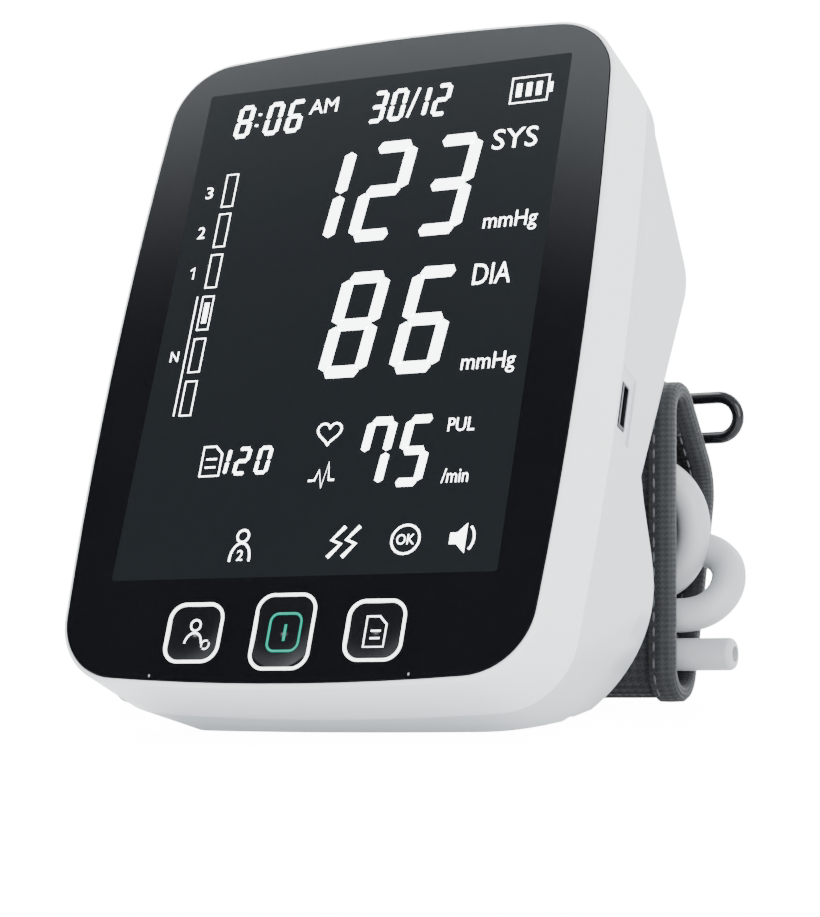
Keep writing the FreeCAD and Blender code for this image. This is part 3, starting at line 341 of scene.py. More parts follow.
def slate_finish():
    """The display's dark ground, lit very faintly from behind."""
    made, nodes, links = material("lit_slate")
    shader = nodes["Principled BSDF"]
    where = nodes.new("ShaderNodeTexCoord")
    cloud = nodes.new("ShaderNodeTexNoise")
    cloud.inputs["Scale"].default_value = 14
    tone = nodes.new("ShaderNodeMixRGB")
    tone.inputs[1].default_value = (0.0050, 0.0058, 0.0068, 1)
    tone.inputs[2].default_value = (0.0060, 0.0070, 0.0080, 1)
    links.new(where.outputs["Object"], cloud.inputs["Vector"])
    links.new(cloud.outputs["Fac"], tone.inputs[0])
    links.new(tone.outputs[0], shader.inputs["Base Color"])
    links.new(tone.outputs[0], shader.inputs["Emission Color"])
    shader.inputs["Emission Strength"].default_value = 1.6
    shader.inputs["Specular IOR Level"].default_value = 0.15
    shader.inputs["Roughness"].default_value = 0.14
    return made


bpy.ops.mesh.primitive_plane_add(size=1, location=(0, 0, 0))
lit_area = bpy.context.object
lit_area.scale = (LIT_WIDE, LIT_TALL, 1)
bpy.ops.object.transform_apply(scale=True)
bpy.ops.object.mode_set(mode="EDIT")
bpy.ops.mesh.select_all(action="SELECT")
bpy.ops.mesh.bevel(offset=0.6, affect="VERTICES", segments=3)
bpy.ops.object.mode_set(mode="OBJECT")
thicken(lit_area, LIT_THICK)
lit_area.name = "lit_area"
give(lay(lit_area, FACE), slate_finish())
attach(lit_area, "monitor")
print("lit area", [round(side / MM, 1) for side in lit_area.dimensions])

# %% [markdown]
# The large figures are seven-segment digits that lean a few degrees. Every segment is a bar
# with pointed ends. One bar is drawn from a six-sided disc, its two ends are pulled apart in
# edit mode, and each lit segment is a copy of it. A font would give the wrong shapes.

# %% Seven-segment figures
SEGMENTS = {"0": "ABCDEF", "1": "BC", "2": "ABGED", "3": "ABGCD", "5": "AFGCD", "6": "AFGECD",
            "7": "ABCF", "8": "ABCDEFG"}
SLANT = math.tan(math.radians(6))
MARK_LEVEL = 0.04


def bar(length, thick):
    """One pointed bar along x, centred, drawn flat."""
    reach = thick / math.sqrt(3)
    bpy.ops.mesh.primitive_circle_add(vertices=6, radius=reach, fill_type="NGON",
                                      rotation=(0, 0, math.pi / 2))
    made = bpy.context.object
    bpy.ops.object.transform_apply(rotation=True)
    for side in (-1, 1):
        pick_points(made, lambda place, side=side: place.x * side > 1e-6)
        bpy.ops.transform.translate(value=(side * (length / 2 - reach), 0, 0))
        bpy.ops.object.mode_set(mode="OBJECT")
    return made


def copy_at(piece, placing):
    """A copy of a piece with its shape moved by a matrix."""
    twin = piece.copy()
    twin.data = piece.data.copy()
    twin.data.transform(placing)
    bpy.context.scene.collection.objects.link(twin)
    return twin


def figures(name, digits, low, width, height, thick):
    """Digits given with their left edges, standing on a line, as one flat piece."""
    gap = thick * 0.2
    flat = bar(width - thick * 0.95 - gap, thick)
    tall = bar((height - thick) / 2 - gap, thick)
    upright = Matrix.Rotation(math.pi / 2, 4, "Z")
    rise = (height - thick) / 4
    spots = {"A": (flat, width / 2, height - thick / 2), "G": (flat, width / 2, height / 2),
             "D": (flat, width / 2, thick / 2),
             "B": (tall, width - thick / 2, height / 2 + rise),
             "C": (tall, width - thick / 2, height / 2 - rise),
             "F": (tall, thick / 2, height / 2 + rise),
             "E": (tall, thick / 2, height / 2 - rise)}
    lean = Matrix(((1, SLANT, 0, 0), (0, 1, 0, 0), (0, 0, 1, 0), (0, 0, 0, 1)))
    pieces = []
    for digit, left in digits:
        for segment in SEGMENTS[digit]:
            part, across, up = spots[segment]
            turn = upright if part is tall else Matrix()
            place = Matrix.Translation((left, low, 0)) @ lean @ Matrix.Translation((across, up, 0)) @ turn
            pieces.append(copy_at(part, place))
    for part in (flat, tall):
        bpy.data.objects.remove(part)
    whole = join(pieces, name)
    return thicken(whole)


def lit_finish(name, colour, glow):
    """A mark that gives light: pale and even, with a faint cloudiness as the display's mask has. The
    display's figures are backlit; on printed marks the glow is painted light.
    """
    made, nodes, links = material(name)
    shader = nodes["Principled BSDF"]
    where = nodes.new("ShaderNodeTexCoord")
    cloud = nodes.new("ShaderNodeTexNoise")
    cloud.inputs["Scale"].default_value = 60
    tone = nodes.new("ShaderNodeMixRGB")
    tone.inputs[1].default_value = (*[part * 0.94 for part in colour], 1)
    tone.inputs[2].default_value = (*colour, 1)
    links.new(where.outputs["Object"], cloud.inputs["Vector"])
    links.new(cloud.outputs["Fac"], tone.inputs[0])
    links.new(tone.outputs[0], shader.inputs["Base Color"])
    links.new(tone.outputs[0], shader.inputs["Emission Color"])
    shader.inputs["Emission Strength"].default_value = glow
    shader.inputs["Specular IOR Level"].default_value = 0.1
    shader.inputs["Roughness"].default_value = 0.3
    return made


LIT_WHITE = lit_finish("lit_white", (0.88, 0.90, 0.92), 6.0)
LIT_TEAL = lit_finish("teal_mark", (0.0, 0.22, 0.15), 0.9)
# painted light: the printed dots under the window glow faintly (0.2), though nothing lights them
DIM_PRINT_PAINTED_GLOW = lit_finish("dim_print_painted_glow", (0.30, 0.31, 0.32), 0.2)
# painted light: the printed white key marks glow (3.5), though nothing lights them
PRINTED_WHITE_PAINTED_GLOW = lit_finish("printed_white_painted_glow", (0.84, 0.86, 0.88), 3.5)


def show(piece, finish=LIT_WHITE, body="monitor", level=MARK_LEVEL):
    """A finished mark goes on the face, gets its finish and rides on its body."""
    lay(piece, FACE @ Matrix.Translation((0, 0, level)))
    give(piece, finish)
    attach(piece, body)
    return piece


show(figures("systolic_figures", [("1", -15.6), ("2", -2.3), ("3", 11.6)], 15.8, 10.2, 21.9, 2.5))
show(figures("diastolic_figures", [("8", -3.5), ("6", 11.5)], -13.3, 10.2, 22.3, 2.5))
show(figures("pulse_figures", [("7", 8.0), ("5", 16.0)], -36.3, 6.2, 14.3, 1.7))
show(figures("memory_figures", [("1", -22.3), ("2", -18.0), ("0", -13.4)], -32.5, 3.0, 5.8, 0.75))
show(figures("clock_figures", [("8", -33.0), ("0", -26.2), ("6", -21.3)], 42.4, 3.6, 7.6, 0.95))
show(figures("date_figures", [("3", -2.5), ("0", 1.9), ("1", 6.9), ("2", 11.4)], 42.4, 3.4, 7.3, 0.9))
print("figures made")

# %% [markdown]
# Small words such as units are plain lettering. A text object is turned into a mesh and then
# stretched to the box that it fills, so its size doesn't depend on the font's own spacing.

# %% Lettering


def fit(piece, left, right, low, high):
    """Scales and moves a flat mesh so that it fills a box on the face."""
    across = [point.co.x for point in piece.data.vertices]
    up = [point.co.y for point in piece.data.vertices]
    wide, tall = max(across) - min(across), max(up) - min(up)
    piece.data.transform(Matrix.Translation((left, low, 0))
                         @ Matrix.Diagonal(((right - left) / wide, (high - low) / tall, 1, 1))
                         @ Matrix.Translation((-min(across), -min(up), 0)))
    return piece


def word(text, left, right, low, high):
    """Lettering as a flat mesh that fills a box on the face."""
    bpy.ops.object.text_add(location=(0, 0, 0))
    letters = bpy.context.object
    letters.data.body = text
    letters.data.resolution_u = 3
    select_only(letters)
    bpy.ops.object.convert(target="MESH")
    return fit(bpy.context.object, left, right, low, high)


WORDS = [
    ("SYS", 26, 35.3, 33.3, 37.7), ("mmHg", 26.7, 37.7, 15.1, 19.5), ("DIA", 26.3, 34, 4.3, 8.7),
    ("mmHg", 26.7, 37.5, -14.4, -10), ("PUL", 26, 31.3, -25.7, -23), ("/min", 26.3, 31.6, -35.9, -33.1),
    ("AM", -16, -9.7, 46.2, 49.5), ("3", -36.5, -34.9, 28.9, 31.5), ("2", -36.5, -34.9, 19.8, 22.4),
    ("N", -37, -35.2, -7.5, -5.3), ("OK", 19.2, 22.8, -47.7, -45.7),
    ("2", -13.5, -12.2, -49.9, -47.8),
]
letters = thicken(join([word(*entry) for entry in WORDS], "display_words"))
show(letters)
print(len(WORDS), "words")

# %% [markdown]
# Icons are drawn with strokes of one width: a heart, a pulse trace, a speaker, a battery and
# so on. Each stroke is a curve with a round bevel, made a mesh and pressed flat. Drawing the
# outlines as filled shapes by hand would leave uneven line widths.

# %% Icons


def stroke(points, width, closed=False):
    """A flat line through points on the face."""
    line = bpy.data.curves.new("stroke", "CURVE")
    line.dimensions = "3D"
    line.bevel_depth = width / 2
    line.bevel_resolution = 1
    line.use_fill_caps = True
    spline = line.splines.new("POLY")
    spline.points.add(len(points) - 1)
    for spot, (across, up) in zip(spline.points, points):
        spot.co = (across, up, 0, 1)
    spline.use_cyclic_u = closed
    drawn = bpy.data.objects.new("stroke", line)
    bpy.context.scene.collection.objects.link(drawn)
    select_only(drawn)
    bpy.ops.object.convert(target="MESH")
    drawn = bpy.context.object
    drawn.data.transform(Matrix.Diagonal((1, 1, MARK_THICK / width, 1)))
    return drawn


def filled(points):
    """A solid mark with corners at these points of the face."""
    bpy.ops.mesh.primitive_circle_add(vertices=len(points), fill_type="NGON")
    patch = bpy.context.object
    for corner, (across, up) in zip(patch.data.vertices, points):
        corner.co = (across, up, 0)
    return thicken(patch)


def ring_points(across, up, radius, tall=None, start=0, sweep=360, count=20):
    """Points round a circle, an ellipse if tall is given, or a part of one in degrees."""
    tall = tall or radius
    steps = count if sweep == 360 else count + 1
    return [(across + radius * math.cos(math.radians(start + sweep * i / count)),
             up + tall * math.sin(math.radians(start + sweep * i / count))) for i in range(steps)]


def outline_box(left, right, low, high, cut=0.0):
    """A box outline, with its upper right corner cut off if asked."""
    if not cut:
        return [(left, low), (right, low), (right, high), (left, high)]
    return [(left, low), (right, low), (right, high - cut), (right - cut, high), (left, high)]


def heart_points(across, up, width):
    """Points round a heart, from the usual curve of sines, which is 32 units wide."""
    points, count = [], 28
    for i in range(count):
        turn = 2 * math.pi * i / count
        points.append((across + width / 32 * 16 * math.sin(turn) ** 3,
                       up + width / 32 * (13 * math.cos(turn) - 5 * math.cos(2 * turn)
                                          - 2 * math.cos(3 * turn) - math.cos(4 * turn))))
    return points


LINE = 0.45
icons = [stroke(heart_points(1.5, -24.6, 5.0), LINE, True),
         stroke([(-1.2, -34.3), (0.1, -34.3), (0.8, -32.2), (1.7, -35.8), (2.6, -30.7), (3.1, -34.3),
                 (4.2, -34.3)], LINE),
         stroke(ring_points(21, -46.7, 2.8), LINE, True),
         stroke(ring_points(-12.9, -45.0, 1.2), LINE, True),
         stroke(ring_points(-12.9, -49.6, 2.1, 3.2, -8, 196), LINE),
         filled([(29.8, -45.7), (31.2, -45.7), (33.0, -43.9), (33.0, -49.7), (31.2, -47.9), (29.8, -47.9)]),
         stroke(ring_points(32.4, -46.8, 2.2, 2.8, -52, 104, 8), LINE),
         stroke(outline_box(28.3, 36.0, 43.3, 48.9), LINE, True),
         stroke([(36.6, 45.0), (36.6, 47.2)], 0.7),
         stroke([(-36.4, 12.6), (-35.6, 13.2), (-35.6, 10.7)], 0.35),
         stroke(outline_box(-25.1, -20.9, -32.4, -26.3, 1.6), LINE, True),
         stroke([(-24.2, -28.9), (-21.9, -28.9)], 0.4), stroke([(-24.2, -30.6), (-21.9, -30.6)], 0.4),
         stroke([(-27.9, 44.8), (-27.8, 45.3)], 0.75), stroke([(-27.5, 47.3), (-27.4, 47.8)], 0.75),
         stroke([(6.4, 42.9), (8.2, 49.4)], 0.6)]
icons += [stroke([(8.4 + step, -43.8), (6.0 + step, -46.4), (7.9 + step, -47.2), (5.6 + step, -49.8)], 0.8)
          for step in (0, 3.0)]
icons += [stroke([(29.9 + 2.1 * i, 44.6), (29.9 + 2.1 * i, 47.6)], 1.15) for i in range(3)]
LEVELS = [(34.0, 26.7), (25.0, 17.6), (15.8, 8.5), (6.5, -0.8), (-2.8, -10.0), (-12.0, -19.3)]
icons += [stroke(outline_box(-32.3, -29.8, low, high), 0.4, True) for high, low in LEVELS]
icons += [stroke([(-31.05, 0.6), (-31.05, 5.1)], 1.1), stroke([(-33.6, -19.3), (-33.6, 6.6)], 0.3)]
show(join(icons, "display_icons"))

dots = [stroke([(-27.6, -72.3), (-27.3, -72.3)], 0.5), stroke([(25.7, -72.3), (26.0, -72.3)], 0.5)]
show(join(dots, "window_dots"), DIM_PRINT_PAINTED_GLOW, level=0.02)
print(len(icons), "strokes in the display's icons")

# %% [markdown]
# The key marks lie in the shallow dish that a fingertip finds, so they have to follow it. Each
# is drawn flat, and then every point drops onto the dish, a sphere of 36 mm. They ride on
# their keys, so they move when a key is pressed.

# %% Key marks
DISH_RADIUS = 36
DISH_DEPTH = 0.6
KEY_ROW = -64.0


def key_mark(name, pieces, centre, body, finish):
    """Drops a flat mark onto the dish of its key, which is centred at that distance across."""
    mark = join(pieces, name)
    for point in mark.data.vertices:
        away = math.hypot(point.co.x - centre, point.co.y - KEY_ROW)
        point.co.z += DISH_RADIUS - DISH_DEPTH - math.sqrt(DISH_RADIUS ** 2 - away ** 2)
    return show(mark, finish, body, 0.03)


def person(across, up, tall):
    """A head and shoulders."""
    return [stroke(ring_points(across, up + tall * 0.27, tall * 0.19), 0.4, True),
            stroke(ring_points(across, up - tall * 0.42, tall * 0.33, tall * 0.42, 5, 170), 0.4)]


user_marks = person(-19.8, -63.8, 5.4)
user_marks += [stroke(ring_points(-17.0, -66.2, 0.85, start=60, sweep=150, count=8), 0.3),
               stroke(ring_points(-17.0, -66.2, 0.85, start=-120, sweep=150, count=8), 0.3)]
key_mark("user_key_mark", user_marks, -19.6, "user_button", PRINTED_WHITE_PAINTED_GLOW)


def rounded_points(across, up, half_wide, half_tall, corner):
    """A box outline with round corners."""
    points = []
    for turn, (side, level) in enumerate(((1, 1), (-1, 1), (-1, -1), (1, -1))):
        points += ring_points(across + side * (half_wide - corner), up + level * (half_tall - corner), corner,
                              start=90 * turn, sweep=90, count=5)
    return points


start_marks = [stroke(rounded_points(-0.8, -64.0, 3.2, 3.6, 1.6), 0.5, True),
               stroke([(-0.8, -62.4), (-0.8, -65.6)], 0.6)]
key_mark("start_key_mark", start_marks, -0.9, "start_button", LIT_TEAL)
memory_marks = [stroke(outline_box(15.7, 19.7, -67.0, -61.2, 1.5), 0.4, True),
                stroke([(16.7, -63.9), (18.7, -63.9)], 0.35), stroke([(16.7, -65.3), (18.7, -65.3)], 0.35)]
key_mark("memory_key_mark", memory_marks, 17.8, "memory_button", PRINTED_WHITE_PAINTED_GLOW)
print("three key marks")

# %% [markdown]
# The cuff is a flat padded band rolled up. Its section is a belt round three folds: a tight one
# on the table, a wide one at the back and a small one on top. Points that walk round this belt
# at an even pace place every fabric layer, its tape and its stitches.

# %% The belt that the roll follows
# each fold as (y, z, radius) in millimetres: bottom, back, top
FOLDS = [(45.0, 7.5, 7.0), (56.0, 43.0, 11.0), (50.5, 58.2, 6.5)]
CUFF_LEFT, CUFF_RIGHT = -90.0, 43.0


def belt_runs(inset):
    """Arcs and straights of the belt, each as (length, function of the share along it)."""
    turns = []
    for (ay, az, a), (by, bz, b) in zip(FOLDS, FOLDS[1:] + FOLDS[:1]):
        heading = math.atan2(bz - az, by - ay)
        turns.append(heading - math.pi / 2 - math.asin((b - a) / math.hypot(by - ay, bz - az)))
    runs = []
    for i, (y, z, radius) in enumerate(FOLDS):
        start, stop = turns[i - 1], turns[i]
        while stop < start:
            stop += 2 * math.pi
        radius -= inset

        def arc(share, y=y, z=z, radius=radius, start=start, stop=stop):
            angle = start + (stop - start) * share
            out = (math.cos(angle), math.sin(angle))
            return y + radius * out[0], z + radius * out[1], out

        ny, nz, next_radius = FOLDS[(i + 1) % 3]
        out = (math.cos(stop), math.sin(stop))
        begin = (y + radius * out[0], z + radius * out[1])
        end = (ny + (next_radius - inset) * out[0], nz + (next_radius - inset) * out[1])

        def straight(share, begin=begin, end=end, out=out):
            return (begin[0] + (end[0] - begin[0]) * share, begin[1] + (end[1] - begin[1]) * share, out)

        runs += [(radius * (stop - start), arc), (math.dist(begin, end), straight)]
    return runs


OUTER_RUNS = belt_runs(0)
GIRTH = sum(length for length, _ in OUTER_RUNS)


def belt_point(distance, inset):
    """(y, z, outward) at a distance walked round the outside, that far inside it."""
    distance %= GIRTH
    for index, (length, _) in enumerate(OUTER_RUNS):
        if distance <= length:
            return belt_runs(inset)[index][1](distance / length)
        distance -= length
    return belt_runs(inset)[-1][1](1)


print("belt girth", round(GIRTH, 1), "mm")

# %% [markdown]
# Cuff cloth is dark nylon in a plain weave with a soft sheen. The weave follows the cloth, so
# it is drawn on the piece's own UV map, which is in metres along and across the band. Two sets
# of ridges that take turns on a checkerboard give the over-and-under of the threads.

# %% Cloth finishes


def woven_finish(name, colour, thread, depth, roughness=0.75, sheen=0.35):
    """A plain weave with threads so many millimetres apart."""
    made, nodes, links = material(name)
    shader = nodes["Principled BSDF"]
    where = nodes.new("ShaderNodeTexCoord")
    checks = nodes.new("ShaderNodeTexChecker")
    checks.inputs["Scale"].default_value = 1 / (thread * MM)
    along, across = nodes.new("ShaderNodeTexWave"), nodes.new("ShaderNodeTexWave")
    across.bands_direction = "Y"
    for ridges in (along, across):
        ridges.inputs["Scale"].default_value = 1 / (thread * MM) / 20 * math.pi
        links.new(where.outputs["UV"], ridges.inputs["Vector"])
    links.new(where.outputs["UV"], checks.inputs["Vector"])
    weave = nodes.new("ShaderNodeMixRGB")
    links.new(checks.outputs["Fac"], weave.inputs[0])
    links.new(along.outputs["Fac"], weave.inputs[1])
    links.new(across.outputs["Fac"], weave.inputs[2])
    wear = nodes.new("ShaderNodeTexNoise")
    wear.inputs["Scale"].default_value = 70
    wear.inputs["Detail"].default_value = 4
    links.new(where.outputs["Object"], wear.inputs["Vector"])
    # the weave's colour: its thread pattern is the cloth's own, and its darkening to 55 percent in the
    # grooves between threads is painted shade
    tone = nodes.new("ShaderNodeMixRGB")
    tone.inputs[1].default_value = (*[part * 0.55 for part in colour], 1)
    tone.inputs[2].default_value = (*colour, 1)
    links.new(weave.outputs[0], tone.inputs[0])
    faded = nodes.new("ShaderNodeMixRGB")
    faded.blend_type = "MULTIPLY"
    faded.inputs[0].default_value = 0.35
    links.new(tone.outputs[0], faded.inputs[1])
    links.new(wear.outputs["Fac"], faded.inputs[2])
    links.new(faded.outputs[0], shader.inputs["Base Color"])
    lift = nodes.new("ShaderNodeBump")
    lift.inputs["Strength"].default_value = depth
    lift.inputs["Distance"].default_value = 0.0003
    links.new(weave.outputs[0], lift.inputs["Height"])
    links.new(lift.outputs["Normal"], shader.inputs["Normal"])
    shader.inputs["Roughness"].default_value = roughness
    shader.inputs["Specular IOR Level"].default_value = 0.2
    shader.inputs["Sheen Weight"].default_value = sheen
    shader.inputs["Sheen Roughness"].default_value = 0.4
    return made


NYLON = woven_finish("cuff_nylon", (0.032, 0.034, 0.038), 0.85, 0.9, sheen=0.12)
TAPE = woven_finish("edge_tape", (0.040, 0.042, 0.046), 0.55, 0.35, 0.55, 0.08)
HOOKS = woven_finish("hook_tape", (0.030, 0.031, 0.034), 1.3, 1.0, 0.9, 0.1)
THREAD = woven_finish("sewing_thread", (0.13, 0.135, 0.145), 0.4, 0.3)
# painted shade: a darker copy of the cuff nylon, for the turn that lies inside the roll
NYLON_PAINTED_SHADE = woven_finish("inner_nylon_painted_shade", (0.022, 0.023, 0.026), 0.7, 0.6, sheen=0.15)
print("cloth finishes made")

# %% [markdown]
# The roll itself is a padded band: two cloths with a thin air bladder between them. A grid of
# points is wrapped round the belt with soft lengthwise creases, each point moved in or out by
# a fraction of a millimetre, and Solidify gives the wall. Its UV map comes with the grid.

# %% Padded roll


def skin(name, rows, closed_rows, closed_columns, uv):
    """A mesh from rows of points, with its UV map from a function of row and column."""
    tall, wide = len(rows), len(rows[0])
    points = [point for row in rows for point in row]
    faces, corners = [], []
    for i in range(tall if closed_rows else tall - 1):
        for j in range(wide if closed_columns else wide - 1):
            quad = [(i, j), (i, j + 1), (i + 1, j + 1), (i + 1, j)]
            faces.append([(a % tall) * wide + b % wide for a, b in quad])
            corners += [uv(a, b) for a, b in quad]
    mesh = bpy.data.meshes.new(name)
    mesh.from_pydata([tuple(part * MM for part in point) for point in points], [], faces)
    layer = mesh.uv_layers.new(name="UVMap")
    for slot_at, value in zip(layer.data, corners):
        slot_at.uv = value
    made = bpy.data.objects.new(name, mesh)
    bpy.context.scene.collection.objects.link(made)
    select_only(made)
    bpy.ops.object.shade_smooth()
    return made


def face_out(piece):
    """Turns every face of a mesh outwards."""
    select_only(piece)
    bpy.ops.object.mode_set(mode="EDIT")
    bpy.ops.mesh.select_all(action="SELECT")
    bpy.ops.mesh.normals_make_consistent(inside=False)
    bpy.ops.object.mode_set(mode="OBJECT")
    return piece


ROUND, LONG = 150, 60
ROLL_WALL, ROLL_INSET = 1.9, 0.35
FLAT_BELOW = 2.5     # the cloth that rests on the table has no creases


def crease(walked, x):
    """Soft waves in the cloth: long creases along the band and slack between the seams."""
    share = (x - CUFF_LEFT) / (CUFF_RIGHT - CUFF_LEFT)
    slack = math.sin(math.pi * share) ** 0.6 if 0 < share < 1 else 0
    return (0.34 * math.sin(walked * 0.35 + 1.3 * math.sin(x * 0.05)) * slack
            + 0.22 * math.sin(x * 0.21 + walked * 0.09) * slack + 0.25 * (slack - 1))


roll_rows = []
for i in range(ROUND):
    walked = GIRTH * i / ROUND
    y, z, out = belt_point(walked, ROLL_INSET)
    row = []
    for j in range(LONG + 1):
        x = CUFF_LEFT + (CUFF_RIGHT - CUFF_LEFT) * j / LONG
        shift = crease(walked, x) if z > FLAT_BELOW else 0
        row.append((x, y + out[0] * shift, z + out[1] * shift))
    roll_rows.append(row)
cuff_roll = skin("cuff_roll", roll_rows, True, False,
                 lambda i, j: (GIRTH * i / ROUND * MM, (CUFF_RIGHT - CUFF_LEFT) * j / LONG * MM))
face_out(cuff_roll)
give_wall(cuff_roll, ROLL_WALL * MM, -1)
give(cuff_roll, NYLON)
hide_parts("cuff_outer", "cuff_bladder", "cuff_lining")
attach(cuff_roll, "cuff")
print("roll", len(cuff_roll.data.polygons), "faces")

# %% [markdown]
# Inside the outer turn lies the band's next turn, which shows as a second fold at the mouth of
# the roll. It is one more strip of the same cloth that starts low on the front wall, runs over
# the top fold and ends on the back, a little further inside. Its nylon is a darker copy, as
# painted shade inside the roll.

# %% Inner turn
front_start = sum(length for length, _ in OUTER_RUNS[:3])
TURN_START, TURN_LENGTH, TURN_STEPS = front_start + 8, 74.0, 60
TURN_LEFT, TURN_WIDE, TURN_COLUMNS = CUFF_LEFT + 2, CUFF_RIGHT - CUFF_LEFT - 5, 30
TURN_INSET, RIPPLE = 2.75, 0.12
turn_rows = []
for i in range(TURN_STEPS + 1):
    walked = TURN_START + TURN_LENGTH * i / TURN_STEPS
    y, z, out = belt_point(walked, TURN_INSET)
    turn_rows.append([(TURN_LEFT + TURN_WIDE * j / TURN_COLUMNS,
                       y + out[0] * RIPPLE * math.sin(0.3 * j + 0.2 * i),
                       z + out[1] * RIPPLE * math.sin(0.3 * j + 0.2 * i)) for j in range(TURN_COLUMNS + 1)])
inner_turn = skin("cuff_inner_turn", turn_rows, False, False,
                  lambda i, j: (TURN_LENGTH * i / TURN_STEPS * MM, TURN_WIDE * j / TURN_COLUMNS * MM))
give_wall(inner_turn, 0.9 * MM, 0)
give(inner_turn, NYLON_PAINTED_SHADE)
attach(inner_turn, "cuff")
print("inner turn", round(TURN_LENGTH), "mm long")

# %% [markdown]
# Both long edges of the band are bound with a folded tape, sewn through with one row of
# stitches. The tape's section is a narrow U that walks round the belt and closes on itself.
# The stitches are one small bead, copied along the tape on both of its sides.

# %% Edge tape and stitches
TAPE_SECTION = [(0, -0.45), (2.2, -0.5), (4.3, -0.42), (4.95, 0.1), (5.1, 1.2), (4.95, 2.3), (4.3, 2.8),
                (2.2, 2.88), (0, 2.85), (0, 2.45), (4.2, 2.4), (4.6, 1.2), (4.2, 0.0), (0, 0.0)]
TAPE_REACH = 4.5     # how far in from the band's edge the tape starts
tapes = []
for side, edge in ((1, CUFF_RIGHT - TAPE_REACH), (-1, CUFF_LEFT + TAPE_REACH)):
    rows = []
    for i in range(ROUND):
        walked = GIRTH * i / ROUND
        row = []
        for across, inset in TAPE_SECTION:
            y, z, out = belt_point(walked, inset)
            row.append((edge + side * across, y, z))
        rows.append(row)
    tape = skin("edge_tape", rows, True, True,
                lambda i, j: (GIRTH * i / ROUND * MM, j * 1.3 * MM))
    tapes.append(face_out(tape))
edge_tape = join(tapes, "cuff_edge_tape")
give(edge_tape, TAPE)
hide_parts("cuff_binding")
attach(edge_tape, "cuff")

STITCH_PITCH = 3.0
STITCH_IN = 3.4                 # from the band's edge
STITCH_INSETS = (-0.52, 2.9)    # on the tape's outer side and on its inner side
LOWEST_STITCH = 1.0
bpy.ops.mesh.primitive_uv_sphere_add(segments=8, ring_count=6, radius=1)
bead = bpy.context.object
bead.data.transform(Matrix.Diagonal((0.22, 1.05, 0.22, 1)))
bpy.ops.object.shade_smooth()
stitches = []
for x in (CUFF_RIGHT - STITCH_IN, CUFF_LEFT + STITCH_IN):
    for inset in STITCH_INSETS:
        for i in range(int(GIRTH / STITCH_PITCH)):
            y, z, out = belt_point(STITCH_PITCH * i, inset)
            if z < LOWEST_STITCH:
                continue
            turn = Matrix.Rotation(math.atan2(out[1], out[0]) - math.pi / 2, 4, "X")
            stitches.append(copy_at(bead, Matrix.Translation((x, y, z)) @ turn))
bpy.data.objects.remove(bead)
sewing = join(stitches, "tape_stitches")
lay(sewing, MILLIMETRES)
give(sewing, THREAD)
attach(sewing, "cuff")
print(len(stitches), "stitches")

# %% [markdown]
# A strap of the same cloth holds the long metal ring: it loops once round the ring's lower wire
# and is sewn flat to the roll. The wire turns inside the loop, so the loop stays clear of it.

# %% Ring strap and hook tape
WIRE_Y, WIRE_Z = 66.2, 53.6
STRAP_LEFT, STRAP_RIGHT = -62.0, 34.0
STRAP_Y, STRAP_LOW, STRAP_RISE = 68.0, 38.2, 15.2
STRAP_THICK, STRAP_LOOP = 1.15, 2.05
EDGE_ROUND = 0.3


def soften_edges(piece, width):
    """Rounds the sharp edges of a cut strip of cloth."""
    select_only(piece)
    soften = piece.modifiers.new("soften", "BEVEL")
    soften.width = width
    soften.segments = 2
    soften.limit_method = "ANGLE"
    bpy.ops.object.modifier_apply(modifier="soften")


strap_path = [(STRAP_Y, STRAP_LOW + STRAP_RISE * i / 14) for i in range(14)]
for degrees in range(0, 281, 14):
    angle = math.radians(degrees)
    strap_path.append((WIRE_Y + STRAP_LOOP * math.cos(angle), WIRE_Z + STRAP_LOOP * math.sin(angle)))
strap_rows = []
for i, (y, z) in enumerate(strap_path):
    strap_rows.append([(STRAP_LEFT + (STRAP_RIGHT - STRAP_LEFT) * j / 24, y, z) for j in range(25)])
ring_strap = skin("ring_strap", strap_rows, False, False, lambda i, j: (i * 1.0 * MM, j * 4.0 * MM))
give_wall(ring_strap, STRAP_THICK * MM, 0)
soften_edges(ring_strap, EDGE_ROUND * MM)
give(ring_strap, NYLON)
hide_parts("ring_keeper")
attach(ring_strap, "cuff")

low_box, high_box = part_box("hook_patch")
HOOK_LONG, HOOK_WIDE, HOOK_THICK = 69.6, 19.6, 0.9
HOOK_X, HOOK_RISE = -31, 16     # its middle, across and up the back wall from the bottom fold
HOOK_LIFT = 0.55
(fold_y, fold_z, fold_radius), (bulge_y, bulge_z, bulge_radius) = FOLDS[:2]
run, rise = bulge_y - fold_y, bulge_z - fold_z
WALL_LEAN = math.atan2(rise, run) - math.asin((bulge_radius - fold_radius) / math.hypot(rise, run))
out = Vector((0, math.sin(WALL_LEAN), -math.cos(WALL_LEAN)))
along = Vector((0, math.cos(WALL_LEAN), math.sin(WALL_LEAN)))
bpy.ops.mesh.primitive_grid_add(x_subdivisions=36, y_subdivisions=12, size=1)
hook_tape = bpy.context.object
hook_tape.name = "hook_tape"
hook_tape.scale = (HOOK_LONG, HOOK_WIDE, 1)
bpy.ops.object.transform_apply(scale=True)
give_wall(hook_tape, HOOK_THICK, 0)
soften_edges(hook_tape, EDGE_ROUND)
middle = Vector((HOOK_X, fold_y, fold_z)) + out * (fold_radius + HOOK_LIFT) + along * HOOK_RISE
turned = Matrix(((1, 0, 0, middle.x), (0, along.y, out.y, middle.y), (0, along.z, out.z, middle.z),
                 (0, 0, 0, 1)))
lay(hook_tape, MILLIMETRES @ turned)
face_out(hook_tape)
give(hook_tape, HOOKS)
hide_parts("hook_patch")
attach(hook_tape, "cuff")
print("hook tape from", [round(part, 3) for part in low_box], "to", [round(part, 3) for part in high_box])

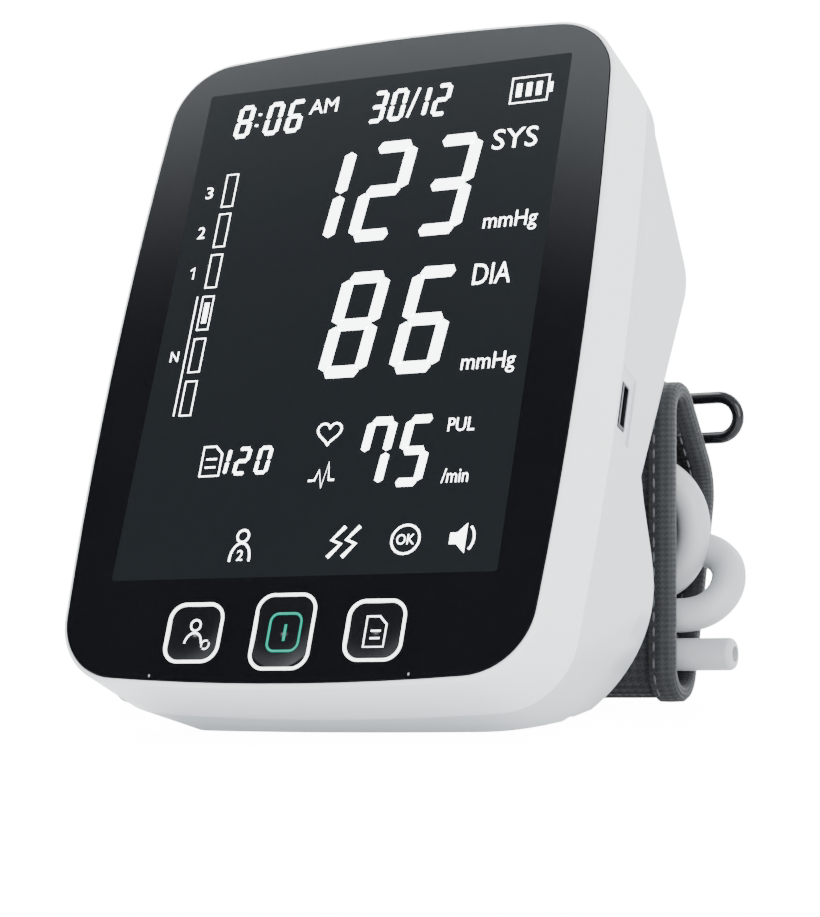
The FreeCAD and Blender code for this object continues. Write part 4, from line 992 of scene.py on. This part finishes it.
# %% [markdown]
# The air hose is one smooth length of soft tube, folded up inside the roll. It leaves the
# bladder's nipple, loops at both ends and comes out at the foot with its plug. A NURBS line
# through loose control points bends as such a tube does, with no kinks between arcs.

# %% Air hose
HOSE_RADIUS = 3.5
HOSE_ROUTE = [
    (-22, 52, 47.5), (-2, 51.2, 48.4), (20, 51.7, 47.2), (36.8, 51.5, 47.9),
    (44.2, 51.5, 40.5), (44.2, 51.4, 29.9), (36.8, 51.4, 22.5), (17, 51.2, 23.3),
    (-16, 51.6, 22.6), (-42, 51.5, 23.8), (-58, 52.2, 27.5), (-72.9, 52.6, 33.5),
    (-79, 52.7, 39.7), (-79, 52.4, 48.3), (-72.9, 52, 54.2), (-64.1, 52, 54.2),
    (-50, 53.4, 46.5), (-32, 54.8, 36.2), (-10, 55.6, 31.4), (18, 55.2, 32.4),
    (36, 55.8, 31.8), (46.4, 56.3, 30.5), (51.2, 53.4, 26.6), (51.2, 49.4, 21.2),
    (46.4, 46.5, 17.3), (35.5, 46.1, 17.7), (17, 46.5, 17.1), (-10, 46.2, 17.9),
    (-36, 46.3, 17.5), (-54, 46.3, 20.2), (-67, 46.2, 25.6), (-78.9, 46.2, 27.2),
    (-84.6, 46.1, 21.5), (-84.4, 45.9, 14.5), (-78.5, 45.7, 9.6), (-66, 45.6, 9.2),
    (-44, 45.8, 9.9), (-6, 45.7, 9.6), (32, 45.7, 9.6),
]
hose_curve = bpy.data.curves.new("air_hose_line", "CURVE")
hose_curve.dimensions = "3D"
hose_curve.resolution_u = 12
hose_curve.bevel_depth = HOSE_RADIUS * MM
hose_curve.bevel_resolution = 5
hose_curve.use_fill_caps = True
line = hose_curve.splines.new("NURBS")
line.points.add(len(HOSE_ROUTE) - 1)
for spot, point in zip(line.points, HOSE_ROUTE):
    spot.co = (*[part * MM for part in point], 1)
line.order_u = 3
line.use_endpoint_u = True
hose = bpy.data.objects.new("cuff_hose", hose_curve)
bpy.context.scene.collection.objects.link(hose)
give(hose, FINISHES["hose_grey"])
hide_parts("air_hose")
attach(hose, "cuff")
print("hose with", len(HOSE_ROUTE), "control points")
